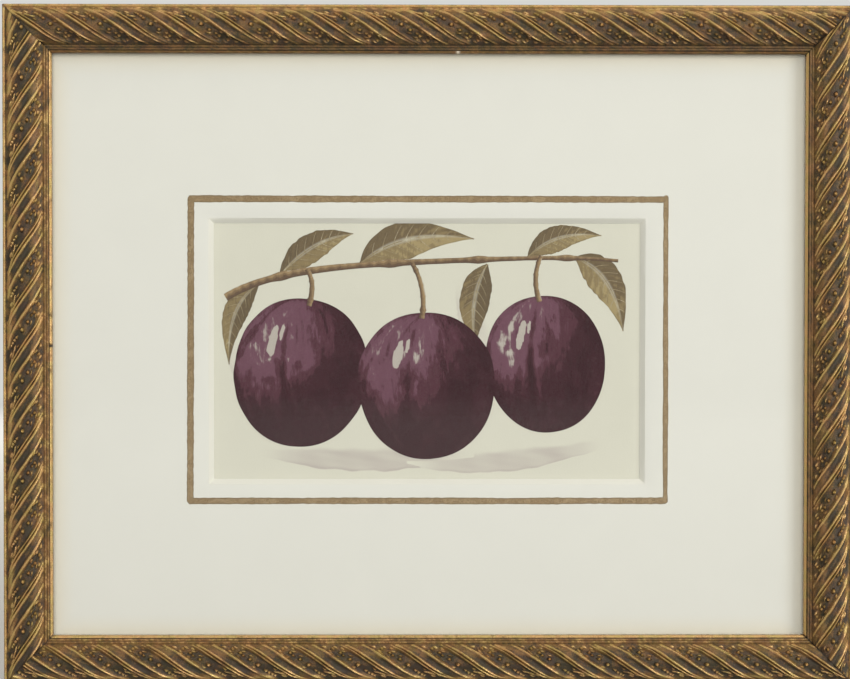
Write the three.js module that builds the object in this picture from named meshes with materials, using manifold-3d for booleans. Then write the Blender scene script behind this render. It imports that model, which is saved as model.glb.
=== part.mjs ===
// A small picture in a gilt rope-pattern frame: four mitred rails, the glass, a window mat, the
// sheet on its two paper hinges, a mount board and a filler board, the points that hold them in the
// rabbet, a dust cover, and a sawtooth hanger and two felt pads on the back.
// Millimetres. +X is the viewer's right, +Z is up, and the picture looks along -Y.
// The origin is the middle notch of the hanger, where a nail in the wall carries the frame.
import * as THREE from "three";
import { mergeVertices } from "three/addons/utils/BufferGeometryUtils.js";
import Module from "manifold-3d";

const wasm = await Module();
wasm.setup();

// Boards: cut 9 by 7 inches, with a 5 by 3 inch window that sits a little low and to the left.
const INCH = 25.4;
const BOARD_WIDTH = 9 * INCH;
const BOARD_HIGH = 7 * INCH;
const WINDOW_WIDTH = 5 * INCH;
const WINDOW_HIGH = 3 * INCH;
const WINDOW_SHIFT_X = -0.6;
const WINDOW_SHIFT_Z = -1.9;
const SHEET_BORDER = 7;

// Moulding, as heights above its back: fillet, rope, two reeds and the sight edge.
const MOULDING_WIDTH = 14.15;
const LIP = 2.8;
const RABBET_PLAY = 0.4;
const RABBET_DEPTH = 10.5;
const MITRE_GAP = 0.1;
const FILLET_WIDTH = 0.85;
const FILLET_HEIGHT = 13.4;
const ROPE_START = 1.3;
const ROPE_END = 11.85;
const ROPE_HALF_ANGLE = Math.PI / 3;
const ROPE_CREST = 16.5;
const ROPE_STEPS = 12;
const REED_RADIUS = 0.36;
const REED_HEIGHT = 12.5;
const REED_STEPS = 4;
const REEDS = [12.25, 13];
const SIGHT_WIDTH = 0.7;
const SIGHT_HEIGHT = 12.2;
const SIGHT_EDGE_HEIGHT = 11.6;
const GROOVE = 0.5;
const RABBET_WALL = MOULDING_WIDTH - LIP - RABBET_PLAY;

// How far a cutting shape runs past the face that it opens.
const CUT_PAST = 1;

// Thicknesses of what lies in the rabbet, front to back, and the air between two layers.
const AIR = 0.1;
const GLASS = 2;
const MAT_BOARD = 1.5;
const SHEET = 0.3;
const TAPE = 0.15;
const MOUNT_BOARD = 1.5;
const FILLER = 3;
const GLASS_FRONT = RABBET_DEPTH - AIR;
const MAT_FRONT = GLASS_FRONT - GLASS - AIR;
const SHEET_FRONT = MAT_FRONT - MAT_BOARD - AIR;
const TAPE_FRONT = SHEET_FRONT - SHEET - AIR;
const MOUNT_FRONT = TAPE_FRONT - TAPE - AIR;
const FILLER_FRONT = MOUNT_FRONT - MOUNT_BOARD - AIR;
const POINT_FRONT = FILLER_FRONT - FILLER - AIR;
const TAPE_WIDTH = 18;
const TAPE_LENGTH = 16;
const TAPE_X = 42;

// Fixings: points in the rabbet's wall, V nails across the mitres, and the clearance round each.
const FIXING_GAP = 0.3;
const POINT_THICK = 0.4;
const POINT_WIDTH = 8;
const POINT_BITE = 4;
const POINT_REACH = 7;
const POINT_TIP = 2.5;
const V_NAIL_LEG = 5;
const V_NAIL_THICK = 0.6;
const V_NAIL_DEEP = 7;
const V_NAIL_INSET = 3.5;
const V_NAIL_SINK = 0.3;

const DUST_COVER = 0.2;
const DUST_COVER_INSET = 2.5;
const PAD_RADIUS = 4;
const PAD_HEIGHT = 2.3;
const PAD_INSET = 7;

// Hanger: a steel strip with a raised middle, whose lower edge is cut into teeth.
const HANGER_THICK = 0.7;
const HANGER_LIFT = 1.3;
const RAMP_ANGLE = Math.PI / 4;
const HANGER_LENGTH = 46;
const HANGER_RAISED = 30;
const HANGER_TOP = 6;
const HANGER_EDGE = 1.6;
const TOOTH_DEPTH = 1.6;
const TOOTH_PITCH = 2.6;
const NOTCHES_EACH_SIDE = 4;
const SCREW_HEAD_RADIUS = 2;
const SCREW_HEAD_HIGH = 1.1;
const SCREW_RADIUS = 0.8;
const SCREW_LENGTH = 9;
const SCREW_SIDES = 20;
const SCREW_X = (HANGER_LENGTH / 2 + HANGER_RAISED / 2 + HANGER_LIFT) / 2;
const SCREW_Z = (HANGER_TOP - TOOTH_DEPTH) / 2;

// The frame's own middle and back, as places from the notch.
const OUTER_WIDTH = BOARD_WIDTH - 2 * LIP + 2 * MOULDING_WIDTH;
const OUTER_HIGH = BOARD_HIGH - 2 * LIP + 2 * MOULDING_WIDTH;
const COVER_BACK = -(AIR + DUST_COVER);
const HANGER_BACK = COVER_BACK - AIR - HANGER_LIFT - HANGER_THICK;
const BACK_Y = HANGER_BACK + HANGER_THICK / 2;
const CENTRE_Z = HANGER_TOP + HANGER_EDGE - OUTER_HIGH / 2;

function material(color, roughness, metalness = 0) {
  return new THREE.MeshStandardMaterial({ color, roughness, metalness });
}

const gilt = material(0x8a6a3c, 0.45, 0.6);
const glass = material(0xf4f8f6, 0.02);
const matBoard = material(0xdedcd0, 0.9);
const paper = material(0xd6d2be, 0.9);
const linenTape = material(0xe4e0d2, 0.9);
const mountBoard = material(0xd8d6cc, 0.9);
const fillerBoard = material(0xe8e8e4, 0.8);
const steel = material(0xb0b2b4, 0.35, 1);
const brass = material(0xc8a860, 0.35, 1);
const kraft = material(0xa9855c, 0.9);
const felt = material(0x5a4636, 1);
glass.transparent = true;
glass.opacity = 0.2;

function solidOf(geometry) {
  const bare = geometry.clone();
  bare.deleteAttribute("normal");
  bare.deleteAttribute("uv");
  const merged = mergeVertices(bare);
  const vertProperties = merged.attributes.position.array;
  const triVerts = new Uint32Array(merged.index.array);
  return new wasm.Manifold(new wasm.Mesh({ numProp: 3, vertProperties, triVerts }));
}

function geometryOf(solid) {
  const mesh = solid.getMesh();
  const geometry = new THREE.BufferGeometry();
  geometry.setAttribute("position", new THREE.BufferAttribute(mesh.vertProperties, 3));
  geometry.setIndex(new THREE.BufferAttribute(mesh.triVerts, 1));
  const flat = geometry.toNonIndexed();
  flat.computeVertexNormals();
  return flat;
}

function cut(geometry, cutters) {
  const start = solidOf(geometry);
  return geometryOf(cutters.reduce((left, cutter) => left.subtract(solidOf(cutter)), start));
}

// A slab between two heights above the frame's back, from a plan drawn in X and Z.
function slab(plan, low, high) {
  const geometry = new THREE.ExtrudeGeometry(plan, { depth: high - low, bevelEnabled: false });
  geometry.rotateX(Math.PI / 2);
  geometry.translate(0, -low, 0);
  return geometry;
}

function outline(points) {
  return new THREE.Shape(points.map(([x, z]) => new THREE.Vector2(x, z)));
}

function rectangle(width, high, x = 0, z = 0) {
  const right = width / 2;
  const top = high / 2;
  const corners = [[-right, -top], [right, -top], [right, top], [-right, top]];
  return outline(corners.map(([dx, dz]) => [x + dx, z + dz]));
}

// A round rod along Y between two heights above the frame's back.
function rod(radius, x, z, low, high) {
  const geometry = new THREE.CylinderGeometry(radius, radius, high - low, SCREW_SIDES);
  return geometry.translate(x, -(low + high) / 2, z);
}

// Points on an arc from one angle to another, both included.
function arc(across, up, radius, from, to, steps) {
  return Array.from({ length: steps + 1 }, (_, i) => {
    const angle = from + ((to - from) * i) / steps;
    return [across + radius * Math.cos(angle), up + radius * Math.sin(angle)];
  });
}

// The moulding's section: across runs inwards from the outer edge, and up from the back.
function mouldingSection() {
  const upright = Math.PI / 2;
  const ropeRadius = (ROPE_END - ROPE_START) / 2 / Math.sin(ROPE_HALF_ANGLE);
  const ropeMiddle = (ROPE_START + ROPE_END) / 2;
  const ropeFrom = upright + ROPE_HALF_ANGLE;
  const ropeTo = upright - ROPE_HALF_ANGLE;
  const sightStart = MOULDING_WIDTH - SIGHT_WIDTH;
  return outline([
    [0, 0],
    [0, FILLET_HEIGHT],
    [FILLET_WIDTH, FILLET_HEIGHT],
    [FILLET_WIDTH, FILLET_HEIGHT - GROOVE],
    ...arc(ropeMiddle, ROPE_CREST - ropeRadius, ropeRadius, ropeFrom, ropeTo, ROPE_STEPS),
    ...REEDS.flatMap((across) => arc(across, REED_HEIGHT, REED_RADIUS, Math.PI, 0, REED_STEPS)),
    [sightStart, SIGHT_HEIGHT - GROOVE],
    [sightStart, SIGHT_HEIGHT],
    [MOULDING_WIDTH, SIGHT_EDGE_HEIGHT],
    [MOULDING_WIDTH, RABBET_DEPTH],
    [RABBET_WALL, RABBET_DEPTH],
    [RABBET_WALL, 0],
  ]);
}

// A rail along X for an outer side of this length: each point runs to the 45 degree mitre.
function mouldingLength(side, reach) {
  const geometry = new THREE.ExtrudeGeometry(mouldingSection(), { depth: 1, bevelEnabled: false });
  const place = geometry.attributes.position;
  for (let i = 0; i < place.count; i += 1) {
    const across = place.getX(i);
    const end = place.getZ(i) > 0.5 ? -1 : 1;
    place.setXYZ(i, end * (side / 2 - across - MITRE_GAP), -place.getY(i), reach - across);
  }
  return geometry;
}

// A point: a thin steel dart, driven into the rabbet's wall and reaching over the filler board.
function dart(x, reach, gap) {
  const wall = reach - RABBET_WALL;
  const half = POINT_WIDTH / 2 + gap;
  const shoulder = wall + POINT_BITE - POINT_TIP + gap;
  const heel = wall - POINT_REACH - gap;
  const tip = wall + POINT_BITE + gap;
  const plan = outline([[x - half, heel], [x + half, heel], [x + half, shoulder], [x, tip],
    [x - half, shoulder]]);
  return slab(plan, POINT_FRONT - POINT_THICK - gap, POINT_FRONT + gap);
}

// A V nail: two legs that meet on the mitre, pressed in from the back, at the corner at +X +Z.
function vNail(gap) {
  const x = OUTER_WIDTH / 2 - V_NAIL_INSET;
  const z = OUTER_HIGH / 2 - V_NAIL_INSET;
  const inner = V_NAIL_THICK + gap;
  const leg = V_NAIL_LEG + gap;
  const plan = outline([[x + gap, z + gap], [x - leg, z + gap], [x - leg, z - inner],
    [x - inner, z - inner], [x - inner, z - leg], [x + gap, z - leg]]);
  const mouth = gap > 0 ? -CUT_PAST : V_NAIL_SINK;
  return slab(plan, mouth, V_NAIL_SINK + V_NAIL_DEEP + gap);
}

// The four corners: the V nail's plan, mirrored in X and Z with its faces kept outwards.
const CORNERS = [
  { name: "top_right", x: 1, z: 1 },
  { name: "bottom_right", x: 1, z: -1 },
  { name: "bottom_left", x: -1, z: -1 },
  { name: "top_left", x: -1, z: 1 },
];

function atCorner(geometry, corner) {
  const turned = geometry.clone();
  const place = turned.attributes.position;
  const swap = corner.x * corner.z < 0;
  for (let i = 0; i < place.count; i += 3) {
    const order = swap ? [i, i + 2, i + 1] : [i, i + 1, i + 2];
    const points = order.map((j) => new THREE.Vector3().fromBufferAttribute(place, j));
    points.forEach((point, k) => place.setXYZ(i + k, corner.x * point.x, point.y, corner.z * point.z));
  }
  turned.computeVertexNormals();
  return turned;
}

const vNailPocket = vNail(FIXING_GAP);
const screwHoles = [-SCREW_X, SCREW_X].map((x) =>
  rod(SCREW_RADIUS + FIXING_GAP, x, SCREW_Z - CENTRE_Z, HANGER_BACK - CUT_PAST, SCREW_LENGTH));

// The four sides, named, with the turn that brings the top rail's place to each.
const SIDES = [
  { name: "top", side: OUTER_WIDTH, other: OUTER_HIGH, turn: 0 },
  { name: "right", side: OUTER_HIGH, other: OUTER_WIDTH, turn: 1 },
  { name: "bottom", side: OUTER_WIDTH, other: OUTER_HIGH, turn: 2 },
  { name: "left", side: OUTER_HIGH, other: OUTER_WIDTH, turn: 3 },
];
const POINT_PLACES = [-0.25, 0.25];

const group = new THREE.Group();
const frame = new THREE.Group();
frame.position.set(0, BACK_Y, CENTRE_Z);
group.add(frame);

function add(name, geometry, surface) {
  const mesh = new THREE.Mesh(geometry, surface);
  mesh.name = name;
  frame.add(mesh);
  return mesh;
}

for (const { name, side, other, turn } of SIDES) {
  const reach = other / 2;
  const angle = (turn * Math.PI) / 2;
  const slots = POINT_PLACES.map((place) => dart(place * side, reach, FIXING_GAP));
  const pockets = CORNERS.map((corner) => atCorner(vNailPocket, corner).rotateY(-angle));
  const holes = name === "top" ? screwHoles : [];
  const rail = cut(mouldingLength(side, reach), [...slots, ...pockets, ...holes]);
  add(`${name}_rail`, rail, gilt).rotation.y = angle;
  POINT_PLACES.forEach((place, i) => {
    add(`${name}_point_${i + 1}`, dart(place * side, reach, 0), steel).rotation.y = angle;
  });
}

for (const corner of CORNERS) {
  add(`${corner.name}_v_nail`, atCorner(vNail(0), corner), steel);
}

// The mat's window is cut with a 45 degree bevel, wider towards the glass.
function windowMat() {
  const low = MAT_FRONT - MAT_BOARD;
  const window = rectangle(WINDOW_WIDTH, WINDOW_HIGH);
  const geometry = slab(window, low - CUT_PAST, MAT_FRONT + CUT_PAST);
  const place = geometry.attributes.position;
  for (let i = 0; i < place.count; i += 1) {
    const spread = -place.getY(i) - low;
    const x = place.getX(i) + Math.sign(place.getX(i)) * spread + WINDOW_SHIFT_X;
    const z = place.getZ(i) + Math.sign(place.getZ(i)) * spread + WINDOW_SHIFT_Z;
    place.setXYZ(i, x, place.getY(i), z);
  }
  return cut(slab(boardPlan, low, MAT_FRONT), [geometry]);
}

const boardPlan = rectangle(BOARD_WIDTH, BOARD_HIGH);
const sheetWidth = WINDOW_WIDTH + 2 * SHEET_BORDER;
const sheetHigh = WINDOW_HIGH + 2 * SHEET_BORDER;
const sheetPlan = rectangle(sheetWidth, sheetHigh, WINDOW_SHIFT_X, WINDOW_SHIFT_Z);
add("glass_pane", slab(boardPlan, GLASS_FRONT - GLASS, GLASS_FRONT), glass);
add("window_mat", windowMat(), matBoard);
add("artwork_sheet", slab(sheetPlan, SHEET_FRONT - SHEET, SHEET_FRONT), paper);
["left", "right"].forEach((side, i) => {
  const x = WINDOW_SHIFT_X + (2 * i - 1) * TAPE_X;
  const plan = rectangle(TAPE_WIDTH, TAPE_LENGTH, x, WINDOW_SHIFT_Z + sheetHigh / 2);
  add(`${side}_hinge_tape`, slab(plan, TAPE_FRONT - TAPE, TAPE_FRONT), linenTape);
});
add("mount_board", slab(boardPlan, MOUNT_FRONT - MOUNT_BOARD, MOUNT_FRONT), mountBoard);
add("filler_board", slab(boardPlan, FILLER_FRONT - FILLER, FILLER_FRONT), fillerBoard);

const coverPlan = rectangle(OUTER_WIDTH - 2 * DUST_COVER_INSET, OUTER_HIGH - 2 * DUST_COVER_INSET);
add("dust_cover", cut(slab(coverPlan, COVER_BACK, -AIR), screwHoles), kraft);

// The hanger's strip seen from above, then its teeth cut from the lower edge.
function hanger() {
  const flat = COVER_BACK - AIR;
  const half = HANGER_RAISED / 2;
  const end = HANGER_LENGTH / 2;
  const lean = HANGER_THICK * Math.tan(RAMP_ANGLE / 2);
  const raised = flat - HANGER_LIFT;
  const strip = outline([
    [-end, flat], [-half - HANGER_LIFT, flat], [-half, raised], [half, raised],
    [half + HANGER_LIFT, flat], [end, flat], [end, flat - HANGER_THICK],
    [half + HANGER_LIFT + lean, flat - HANGER_THICK], [half + lean, HANGER_BACK],
    [-half - lean, HANGER_BACK], [-half - HANGER_LIFT - lean, flat - HANGER_THICK],
    [-end, flat - HANGER_THICK],
  ]);
  const high = HANGER_TOP + TOOTH_DEPTH;
  const geometry = new THREE.ExtrudeGeometry(strip, { depth: high, bevelEnabled: false });
  geometry.rotateX(Math.PI);
  geometry.translate(0, 0, HANGER_TOP - CENTRE_Z);
  const notches = Array.from({ length: 2 * NOTCHES_EACH_SIDE + 1 }, (_, i) => {
    const x = (i - NOTCHES_EACH_SIDE) * TOOTH_PITCH;
    const foot = -2 * TOOTH_DEPTH;
    const plan = outline([[x - TOOTH_PITCH, foot], [x + TOOTH_PITCH, foot], [x, 0]]);
    return slab(plan, HANGER_BACK - CUT_PAST, flat).translate(0, 0, -CENTRE_Z);
  });
  return cut(geometry, [...notches, ...screwHoles]);
}

add("sawtooth_hanger", hanger(), brass);

// A screw: a domed head against the strip, and a shank through it into the rail.
function screw(x) {
  const seat = COVER_BACK - 2 * AIR - HANGER_THICK;
  const profile = [
    [0, -SCREW_LENGTH + FIXING_GAP],
    [SCREW_RADIUS, -SCREW_LENGTH + FIXING_GAP + SCREW_RADIUS],
    [SCREW_RADIUS, -seat],
    [SCREW_HEAD_RADIUS, -seat],
    [SCREW_HEAD_RADIUS, -seat + SCREW_HEAD_HIGH / 2],
    [SCREW_HEAD_RADIUS / 2, -seat + SCREW_HEAD_HIGH],
    [0, -seat + SCREW_HEAD_HIGH],
  ].map(([radius, y]) => new THREE.Vector2(radius, y));
  return new THREE.LatheGeometry(profile, SCREW_SIDES).translate(x, 0, SCREW_Z - CENTRE_Z);
}

["left", "right"].forEach((side, i) => {
  const hand = 2 * i - 1;
  add(`${side}_hanger_screw`, screw(hand * SCREW_X), brass);
  const x = hand * (OUTER_WIDTH / 2 - PAD_INSET);
  const z = -(OUTER_HIGH / 2 - PAD_INSET);
  const back = COVER_BACK - AIR - PAD_HEIGHT;
  add(`${side}_felt_pad`, rod(PAD_RADIUS, x, z, back, back + PAD_HEIGHT), felt);
});

export default group;
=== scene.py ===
"""A small watercolour in a gilt rope-carved frame, dressed as a Blender add-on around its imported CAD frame.

Plan coordinates used below: x to the viewer's right and z up from the frame's middle, and height
above the back of the rails, towards the viewer. The world has the same x and z, and y = BACK_Y - height.
"""

import math

import bmesh
import bpy
import numpy as np
from bpy.props import FloatProperty, FloatVectorProperty, PointerProperty
from bpy.types import Operator, Panel, PropertyGroup
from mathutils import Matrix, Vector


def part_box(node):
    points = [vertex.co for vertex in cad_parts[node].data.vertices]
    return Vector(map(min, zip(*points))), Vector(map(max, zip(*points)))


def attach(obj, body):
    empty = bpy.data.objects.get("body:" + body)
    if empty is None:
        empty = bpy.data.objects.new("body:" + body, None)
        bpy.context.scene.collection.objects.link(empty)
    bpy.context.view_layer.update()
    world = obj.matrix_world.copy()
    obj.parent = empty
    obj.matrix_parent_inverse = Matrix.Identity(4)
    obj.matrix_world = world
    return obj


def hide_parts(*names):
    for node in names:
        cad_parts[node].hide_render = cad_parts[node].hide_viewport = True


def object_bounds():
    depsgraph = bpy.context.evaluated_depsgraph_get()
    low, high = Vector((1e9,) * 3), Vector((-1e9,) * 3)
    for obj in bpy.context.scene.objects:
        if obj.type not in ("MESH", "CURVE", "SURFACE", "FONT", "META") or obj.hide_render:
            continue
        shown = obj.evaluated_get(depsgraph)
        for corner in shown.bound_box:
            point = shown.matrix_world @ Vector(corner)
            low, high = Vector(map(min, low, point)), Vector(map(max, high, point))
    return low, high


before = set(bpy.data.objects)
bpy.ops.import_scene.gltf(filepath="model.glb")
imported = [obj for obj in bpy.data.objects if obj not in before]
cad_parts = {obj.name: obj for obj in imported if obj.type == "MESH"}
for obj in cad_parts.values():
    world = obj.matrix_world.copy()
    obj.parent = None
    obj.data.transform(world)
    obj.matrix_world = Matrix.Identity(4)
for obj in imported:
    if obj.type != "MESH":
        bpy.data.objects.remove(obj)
CAD_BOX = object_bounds()

bl_info = {
    "name": "Rope-carved picture frame",
    "version": (1, 0, 0),
    "blender": (4, 5, 0),
    "location": "3D View > Sidebar > Picture",
    "description": "A framed watercolour with a gilt rope-carved moulding, a window mat and a papered back",
    "category": "Object",
}

MM = 0.001

# Places that come from the CAD frame.
TOP_LOW, TOP_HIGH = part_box("top_rail")
BOTTOM_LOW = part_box("bottom_rail")[0]
CENTRE_X = (TOP_LOW.x + TOP_HIGH.x) / 2
CENTRE_Z = (TOP_HIGH.z + BOTTOM_LOW.z) / 2
BACK_Y = TOP_HIGH.y
OUTER_WIDTH = TOP_HIGH.x - TOP_LOW.x
OUTER_HIGH = TOP_HIGH.z - BOTTOM_LOW.z


def heights(node):
    """Height of a CAD node's back and of its front above the back of the rails."""
    low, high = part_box(node)
    return BACK_Y - high.y, BACK_Y - low.y


def plan_box(node):
    """Left, right, bottom and top of a CAD node in plan coordinates."""
    low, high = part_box(node)
    return low.x - CENTRE_X, high.x - CENTRE_X, low.z - CENTRE_Z, high.z - CENTRE_Z


MAT_BACK, MAT_FRONT = heights("window_mat")
SHEET_FRONT = heights("artwork_sheet")[1]
COVER_BACK, COVER_FRONT = heights("dust_cover")

# The moulding's section, as places from its outer edge and heights above its back.
MOULDING_WIDTH = 14.15 * MM
MOULDING_DEPTH = 16.5 * MM
RABBET_WALL = 10.95 * MM
RABBET_DEPTH = 10.5 * MM
FILLET_WIDTH = 0.85 * MM
FILLET_HEIGHT = 13.4 * MM
ROPE_START = 1.3 * MM
ROPE_END = 11.85 * MM
ROPE_TURN = math.radians(60)
ROPE_MIDDLE = (ROPE_START + ROPE_END) / 2
ROPE_RADIUS = (ROPE_END - ROPE_START) / 2 / math.sin(ROPE_TURN)
ROPE_AXIS = MOULDING_DEPTH - ROPE_RADIUS
REEDS = (12.25 * MM, 13.0 * MM)
REED_RADIUS = 0.36 * MM
REED_RISE = 0.22 * MM
REED_HEIGHT = 12.6 * MM
SIGHT_START = 13.45 * MM
SIGHT_HEIGHT = 12.2 * MM
SIGHT_EDGE = 11.6 * MM
# Above this height a place is on the moulding's front.
FRONT_FROM = 11 * MM
# The open gap of a mitre, and how far from it the gilding is darker.
MITRE_GAP = 0.1 * MM
JOINT_REACH = 0.3 * MM

# The rope pattern: how far a strand runs along the rail for one radian of turn, and where the rims,
# the flute, the groove and the beads stand in one repeat, as shares of it.
STRAND_LEAD = 8.4 * MM
RIM_AFTER_CHANNEL = 0.0
RIM_AFTER_FLUTE = 0.32
RIM_BEFORE_CHANNEL = 0.43
GROOVE_AT = 0.385

# The beads of a channel: turn from the crest in degrees, share of the repeat, and radius in mm.
BEADS = (
    (-47, 0.84, 0.34), (-40, 0.82, 0.4), (-32, 0.8, 0.42), (-23, 0.77, 0.46), (-4, 0.73, 0.62),
    (13, 0.73, 0.52), (25, 0.75, 0.4), (34, 0.72, 0.46), (50, 0.72, 0.42),
)
# The leaves of a channel: share of the repeat, turn in degrees, half length and half width in mm,
# and how far it leans from the rail's direction in radians.
LEAVES = (
    (0.59, -38, 1.8, 0.5, 0.75), (0.63, -31, 1.2, 0.42, 0.1), (0.54, -47, 1.1, 0.42, 0.4),
    (0.68, -49, 1.1, 0.45, 0.3), (0.57, -20, 0.8, 0.3, 0.9), (0.9, -12, 0.7, 0.28, 0.6),
    (0.61, 24, 0.8, 0.3, 0.3), (0.88, 22, 0.8, 0.3, 0.9), (0.6, 40, 0.95, 0.36, 0.2),
    (0.86, 41, 1.0, 0.4, 0.9), (0.62, 54, 0.9, 0.36, 0.5), (0.84, 55, 0.8, 0.36, 0.1),
    (0.52, 50, 0.8, 0.34, 0.7), (0.93, 30, 0.7, 0.3, 0.4),
)

# Each rail: corner it starts from, its direction, the way to the picture, the length of one repeat
# and the place of its first rim on the crest. All four run clockwise round the picture.
RAILS = {
    "top": ((-1, 1), (1, 0), (0, -1), 14.67 * MM, 19.1 * MM),
    "right": ((1, 1), (0, -1), (-1, 0), 14.65 * MM, 30.8 * MM),
    "bottom": ((1, -1), (-1, 0), (0, 1), 14.70 * MM, 18.6 * MM),
    "left": ((-1, -1), (0, 1), (1, 0), 14.78 * MM, 20.5 * MM),
}
# Painted light and shade on each rail's gilding, at the rope's outer side, crest and inner side: how much
# lighter or darker it is painted, and how strongly it tells high from low. Then painted light in the groove
# beside the fillet, and the shares that the inner reeds and the sight edge keep, painted darker or lighter as
# light falls.
RAIL_PAINTED_LIGHT = {
    "top": ((0.05, 0.09, -0.16), (0.95, 0.8, 0.5), 0.4, (0.5, 0.5)),
    "right": ((-0.1, 0.1, 0.0), (1.3, 0.9, 0.75), 0.15, (0.7, 1.3)),
    "bottom": ((-0.12, 0.03, 0.06), (1.3, 0.85, 0.8), 0.0, (1.0, 1.0)),
    "left": ((0.09, 0.07, 0.07), (1.8, 1.15, 1.15), 0.0, (1.0, 0.95)),
}
# How dark the mitre joint is at each rail's start and end: it has opened a little at the lower right.
DARK_JOINTS = {"top": (0.2, 0.5), "right": (0.5, 0.85), "bottom": (0.85, 0.4), "left": (0.4, 0.2)}
EVEN_GILDING = 0.34
# Places along their rails of the chip in the top sight edge and the nick in the left one.
CHIP_ALONG = 134.0 * MM
NICK_ALONG = 100.0 * MM

# The mat's window, 5 by 3 inches, and its middle from the frame's middle, in millimetres.
WINDOW_HALF = (63.5 * MM, 38.1 * MM)
WINDOW_MIDDLE = np.array((-0.6, -1.9))
# How much of the mat the moulding's lip covers, and how far past it the gilding's warm reflection is painted
# on the mat's face.
LIP = 2.8 * MM
GOLD_REFLECTION_REACH = 6.5 * MM

# The ruled line's corners in plan millimetres, clockwise from the upper left. Then its four strokes:
# how far each runs past its first and its last corner in millimetres, and its weight.
LINE_CORNERS = np.array(((-70.72, 43.33), (70.4, 43.34), (70.42, -46.41), (-71.04, -46.44)))
LINE_STROKES = ((0.95, 0.15, 1.08), (1.25, 0.8, 0.82), (0.6, 0.75, 1.04), (0.7, 0.5, 1.06))
LINE_LAYER = 0.004 * MM

# The painted study, in millimetres from the window's middle. A layer is a number of paint films.
# Plums: top and bottom of the axis, radius and layer.
PLUMS = (
    ((-35, 15.5), (-39, -28.5), 20.0, 3.0), ((33.5, 16.5), (38.5, -24.0), 17.8, 1.6),
    ((-1.5, 11.5), (2.5, -32.0), 20.4, 4.4),
)
# Highlights of a plum, as shares of its half sizes: place round it, place up it, half length and
# half width.
HIGHLIGHTS = ((-0.5, 0.42, 0.22, 0.07), (-0.37, 0.54, 0.1, 0.03))
# Painted leaves: start, bend and tip, half width, layer, and how much darker than the others.
PAINTED_LEAVES = (
    ((-20, 26), (-8, 37), (14, 33.5), 5.4, 1.6, 0.0), ((18, 26), (12, 16), (14.5, 1), 4.6, 0.8, 0.2),
    ((-44, 22.5), (-34, 34), (-22, 35), 4.2, 1.6, 0.1), ((44, 28), (56, 24), (58.5, 6), 5.0, 3.0, 0.0),
    ((-50, 20), (-60, 14), (-59, -4), 3.6, 0.8, 0.15), ((30, 28), (38, 36.5), (52, 34.5), 3.8, 0.8, 0.05),
)
# Twigs: the points that they follow, half width at the start and end, layer and number of steps.
TWIGS = (
    (((-60, 16), (-38, 30), (4, 24), (30, 30), (57, 27)), 1.15, 0.5, 5.6, 90),
    (((-36, 24.5), (-33, 21), (-35.2, 13.5)), 0.62, 0.8, 6.6, 30),
    (((-4.8, 26.7), (0.2, 19), (-1.6, 9.8)), 0.62, 0.8, 6.6, 31),
    (((34, 28.5), (31, 22), (33.6, 14.8)), 0.6, 0.75, 6.6, 32),
)
# Watery shade: its layer, then start, bend and end, half width and strength of each wash.
SHADE_LAYER = 0.4
SHADES = (
    ((-50, -30), (-20, -34), (14, -31), 3.6, 0.75), ((-6, -33), (24, -35), (54, -27), 3.4, 0.7),
    ((-58, 5), (-52, -12), (-46, -28), 4.5, 0.3), ((10, 22), (16, 4), (14, -12), 5, 0.35),
)

# The photograph's camera: its place across and up, and its turn in degrees about x, y and z.
CAMERA_ACROSS = -5.9 * MM
CAMERA_UP = -81.1 * MM
CAMERA_TURN = (90 - 1.034, -0.049, -0.487)
# Soft lamps: name, place, width in metres, colour, and whether shiny surfaces mirror them.
LAMPS = (
    ("key", (1.45, -1.35, 0.2), 0.8, (1.0, 0.985, 0.95), True),
    ("fill", (0.0, -1.9, 0.1), 0.9, (1.0, 0.985, 0.965), False),
    ("top", (0.1, -1.15, 1.05), 1.7, (1.0, 0.985, 0.965), True),
    ("rear", (-0.5, 1.3, 0.4), 0.9, (1.0, 0.98, 0.95), True),
)
FLOOR_REACH = 4.0


def srgb(red, green, blue):
    """A colour read off a screen, 0 to 255, as the linear colour that Blender works in."""
    shares = (channel / 255 for channel in (red, green, blue))
    return tuple(c / 12.92 if c <= 0.04045 else ((c + 0.055) / 1.055) ** 2.4 for c in shares)


def colour_prop(name, description, red, green, blue):
    """A colour setting with its default given as screen values."""
    default = srgb(red, green, blue) + (1.0,)
    return FloatVectorProperty(
        name=name, description=description, default=default, size=4, min=0, max=1, subtype="COLOR"
    )


def length_prop(name, description, millimetres):
    """A length setting with its default given in millimetres."""
    return FloatProperty(
        name=name, description=description, default=millimetres * MM, min=0,
        precision=5, subtype="DISTANCE", unit="LENGTH",
    )


def power_prop(name, description, watts):
    """A lamp's power setting."""
    return FloatProperty(name=name, description=description, default=watts, min=0, unit="POWER")


class PictureSizes(PropertyGroup):
    """Sizes of the ornament, the ruled line, the paint and the papered back."""

    channel_depth: length_prop("Channel depth", "Depth of the beaded channel between two strands", 0.95)
    flute_depth: length_prop("Flute depth", "Depth of the hollow along each strand", 0.65)
    groove_depth: length_prop("Groove depth", "Depth of the sharp groove beside the channel", 0.6)
    rim_height: length_prop("Rim height", "Height of the thin rims above the strands", 0.27)
    line_width: length_prop("Ruled line", "Width of the gold line on the mat", 1.85)
    line_wobble: length_prop("Line wobble", "How far the hand-ruled line's edges wander", 0.08)
    line_film: length_prop("Line thickness", "Thickness of the gold paint on the mat", 0.03)
    paint_film: length_prop("Paint film", "Thickness of one layer of watercolour", 0.008)
    cover_sag: length_prop("Dust cover sag", "How far the kraft paper sinks into the hollow back", 0.55)


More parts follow.
